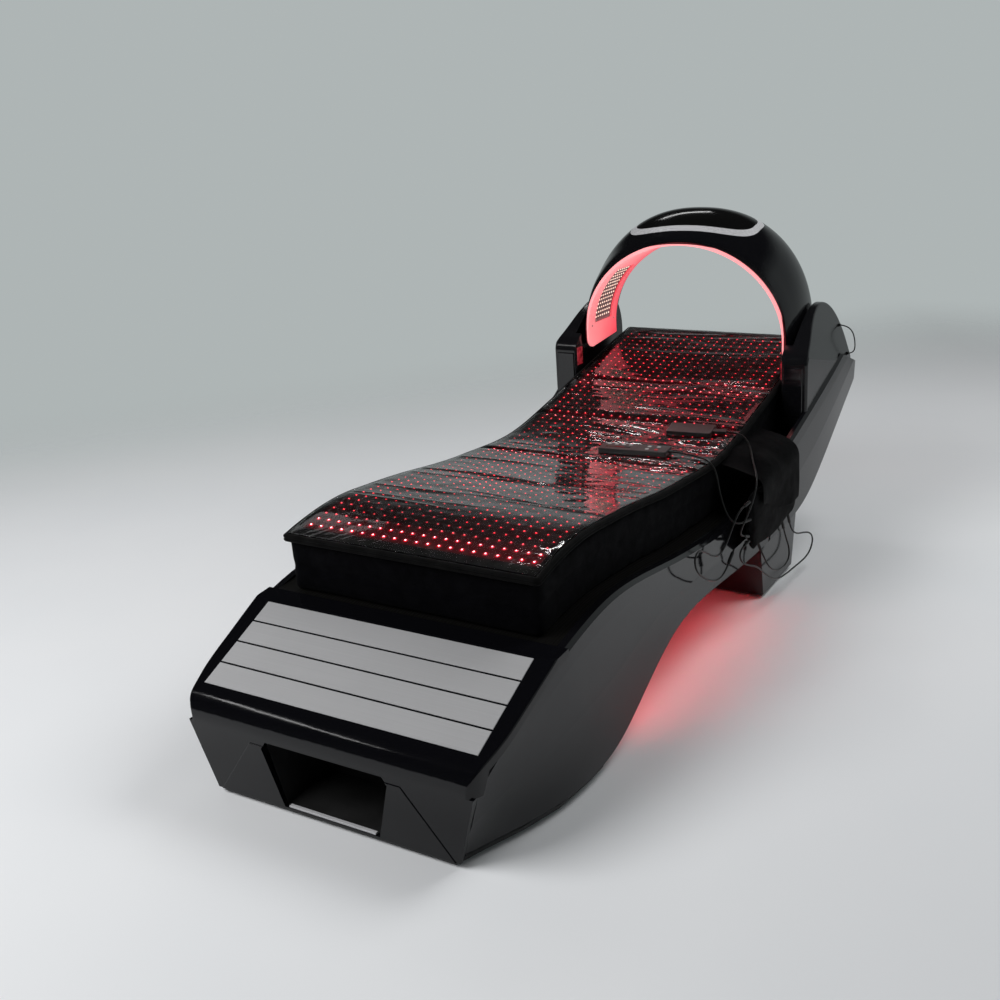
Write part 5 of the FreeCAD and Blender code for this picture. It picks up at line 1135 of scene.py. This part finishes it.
def make_arch_lights():
    tree = tree_of("light_boards")
    low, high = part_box("light_boards")
    centre_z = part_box("arch_liner")[1].z - FAN_BELOW_CROWN
    across = Vector((0, 1, 0))
    points = []
    faces = []
    for side in (1, -1):
        for c in range(BOARD_LIGHT_COLUMNS):
            y = (low.y + high.y) / 2 + (c - (BOARD_LIGHT_COLUMNS - 1) / 2) * BOARD_LIGHT_PITCH
            for r in range(BOARD_LIGHT_ROWS):
                angle = math.radians(BOARD_LIGHT_FIRST + BOARD_LIGHT_FAN * (r + 0.25) / BOARD_LIGHT_ROWS)
                aim = Vector((side * math.cos(angle), 0, math.sin(angle)))
                hit, normal, _, _ = tree.ray_cast(Vector((0, y, centre_z)), aim)
                if hit is None:
                    continue
                up = normal if normal.dot(aim) < 0 else -normal
                dome(points, faces, hit, across, up.cross(across), up, BOARD_LIGHT_RADIUS, LIGHT_RISE)
    mesh_piece("arch_lights", points, faces, arch_light, "arch")


# Stage: pale floor that fades into the wall, a dark tent above, soft lamps, camera
WALL = (0.425, 0.462, 0.462, 1.0)
TENT_RADIUS = 14.0
TENT_DARK = (0.030, 0.031, 0.032, 1.0)
TENT_PALE = (0.060, 0.061, 0.062, 1.0)
TENT_VEIL = (0.75, 0.75, 0.75, 1.0)
TENT_LEAN = -0.35
TENT_LOW_FADE = (0.36, 0.70)
TENT_BACK_FADE = (-0.75, 0.10)
TENT_FRONT_SHARE = 0.05
FLOOR_PALE = (0.79, 0.80, 0.815, 1.0)
FLOOR_GREY = (0.76, 0.775, 0.795, 1.0)
FLOOR_REACH = 9.0
FLOOR_SIDES = 96
FLOOR_BACK = (-0.78, 0.63)
FLOOR_BACK_FADE = (1.45, 3.9)
FLOOR_FAR_FADE = (3.2, 5.6)

# Lamps: place, point that it faces, width and height, watts, and whether gloss mirrors it
LAMPS = {
    "key_softbox": ((-1.9, -3.1, 3.4), (0, -0.4, 0.2), (2.6, 2.2), 152.0, False),
    "side_softbox": ((1.8, 1.7, 3.6), (0.6, 0.5, 0.2), (2.0, 2.2), 80.0, False),
    "floor_wash": ((-3.4, 0.6, 2.6), (-3.4, 0.6, 0.0), (2.0, 2.0), 14.0, False),
    "lip_strip": ((-2.6, -2.46, 3.0), (0, -1.3, 0.2), (1.5, 0.16), 7.0, True),
    "glint_strip": ((-1.26, 2.3, 3.1), (0, 0.2, 0.5), (1.2, 0.18), 8.0, True),
}


def fade_out(tree, shader, share, veil=(1.0, 1.0, 1.0, 1.0)):
    """Lets what lies behind show through the shader, by a share from 0 to 1."""
    clear = put(tree, "BsdfTransparent", {"Color": veil})
    mix = put(tree, "MixShader", {0: share, 1: shader.outputs[0], 2: clear.outputs[0]})
    feed(tree, tree.nodes["Material Output"], Surface=mix.outputs[0])


def make_floor():
    """Round floor that fades out behind the bed and far from it."""
    mesh = bpy.data.meshes.new("floor")
    rim = []
    for i in range(FLOOR_SIDES):
        angle = 2 * math.pi * i / FLOOR_SIDES
        rim.append((FLOOR_REACH * math.cos(angle), FLOOR_REACH * math.sin(angle), 0))
    mesh.from_pydata(rim, [], [tuple(range(FLOOR_SIDES))])
    floor = bpy.data.objects.new("floor", mesh)
    scene.collection.objects.link(floor)
    material, tree, shader = new_material("studio_floor", Roughness=0.6, Specular_IOR_Level=0.15)
    pale = spread(tree, clouds(tree, 1.1, 3.0), 0.3, 0.7)
    feed(tree, shader, Base_Color=between(tree, pale, FLOOR_PALE, FLOOR_GREY))
    split = put(tree, "SeparateXYZ", {"Vector": own_place(tree)})
    behind = calc(tree, "MULTIPLY", split.outputs["X"], FLOOR_BACK[0])
    behind = calc(tree, "MULTIPLY_ADD", split.outputs["Y"], FLOOR_BACK[1], behind)
    back = spread(tree, behind, *FLOOR_BACK_FADE, ends="SMOOTHSTEP")
    away = put(tree, "VectorMath", {0: own_place(tree)}, operation="LENGTH").outputs["Value"]
    far = spread(tree, away, *FLOOR_FAR_FADE, ends="SMOOTHSTEP")
    fade_out(tree, shader, calc(tree, "MAXIMUM", back, far))
    mesh.materials.append(material)


def make_world():
    """The wall's plain tone all round."""
    world = bpy.data.worlds.new("studio")
    scene.world = world
    world.use_nodes = True
    world.node_tree.nodes["Background"].inputs["Color"].default_value = WALL


def make_tent():
    """Dark cloth above and in front of the bed, open behind it and low at its sides.

    The camera looks in past it, so only gloss and soft light meet it."""
    mesh = bpy.data.meshes.new("dark_tent")
    shape = bmesh.new()
    bmesh.ops.create_uvsphere(shape, u_segments=48, v_segments=24, radius=TENT_RADIUS)
    shape.to_mesh(mesh)
    shape.free()
    tent = bpy.data.objects.new("dark_tent", mesh)
    tent.visible_camera = False
    scene.collection.objects.link(tent)
    material, tree, shader = new_material("tent_cloth", Roughness=1.0, Specular_IOR_Level=0.0)
    way = put(tree, "VectorMath", {0: own_place(tree)}, operation="NORMALIZE")
    split = put(tree, "SeparateXYZ", {"Vector": way.outputs[0]})
    climb = calc(tree, "MULTIPLY_ADD", split.outputs["X"], TENT_LEAN, split.outputs["Z"])
    low = spread(tree, climb, *TENT_LOW_FADE, 1.0, 0.0, "SMOOTHSTEP")
    behind = spread(tree, split.outputs["Y"], *TENT_BACK_FADE, TENT_FRONT_SHARE, 1.0, "SMOOTHSTEP")
    feed(tree, shader, Base_Color=between(tree, clouds(tree, 2.0, 2.0), TENT_DARK, TENT_PALE))
    fade_out(tree, shader, calc(tree, "MULTIPLY", low, behind), TENT_VEIL)
    mesh.materials.append(material)


def add_lamp(name, place, target, size, power, mirrored):
    """A soft rectangular lamp; one that isn't mirrored lights the scene without showing in gloss."""
    lamp = bpy.data.lights.new(name, "AREA")
    lamp.shape = "RECTANGLE"
    lamp.size, lamp.size_y = size
    lamp.energy = power
    made = bpy.data.objects.new(name, lamp)
    made.location = place
    made.rotation_euler = (Vector(target) - Vector(place)).to_track_quat("-Z", "Y").to_euler()
    made.visible_glossy = mirrored
    scene.collection.objects.link(made)


def make_camera():
    turn, drop, roll = (math.radians(a) for a in (CAMERA_TURN, CAMERA_DROP, CAMERA_ROLL))
    ahead = Vector((-math.sin(turn) * math.cos(drop), math.cos(turn) * math.cos(drop), -math.sin(drop)))
    right = Vector((math.cos(turn), math.sin(turn), 0))
    up = right.cross(ahead)
    level_right = right * math.cos(roll) + up * math.sin(roll)
    level_up = up * math.cos(roll) - right * math.sin(roll)
    data = bpy.data.cameras.new("photo_view")
    data.sensor_fit = "HORIZONTAL"
    data.sensor_width = SENSOR
    data.lens = CAMERA_LENS * SENSOR
    data.shift_x, data.shift_y = CAMERA_SHIFT
    camera = bpy.data.objects.new("photo_view", data)
    matrix = Matrix((level_right, level_up, -ahead)).transposed().to_4x4()
    matrix.translation = CAMERA_PLACE
    camera.matrix_world = matrix
    scene.collection.objects.link(camera)
    scene.camera = camera


make_mat()
make_mat_lights()
make_mat_edge()
make_film()
make_mattress()
make_pouch()
make_flap()
for cord_name in ROUTES:
    make_cord(cord_name)
make_arch_lights()
make_floor()
make_world()
make_tent()
for lamp_name, facts in LAMPS.items():
    add_lamp(lamp_name, *facts)
make_camera()
scene.view_settings.view_transform = "Standard"
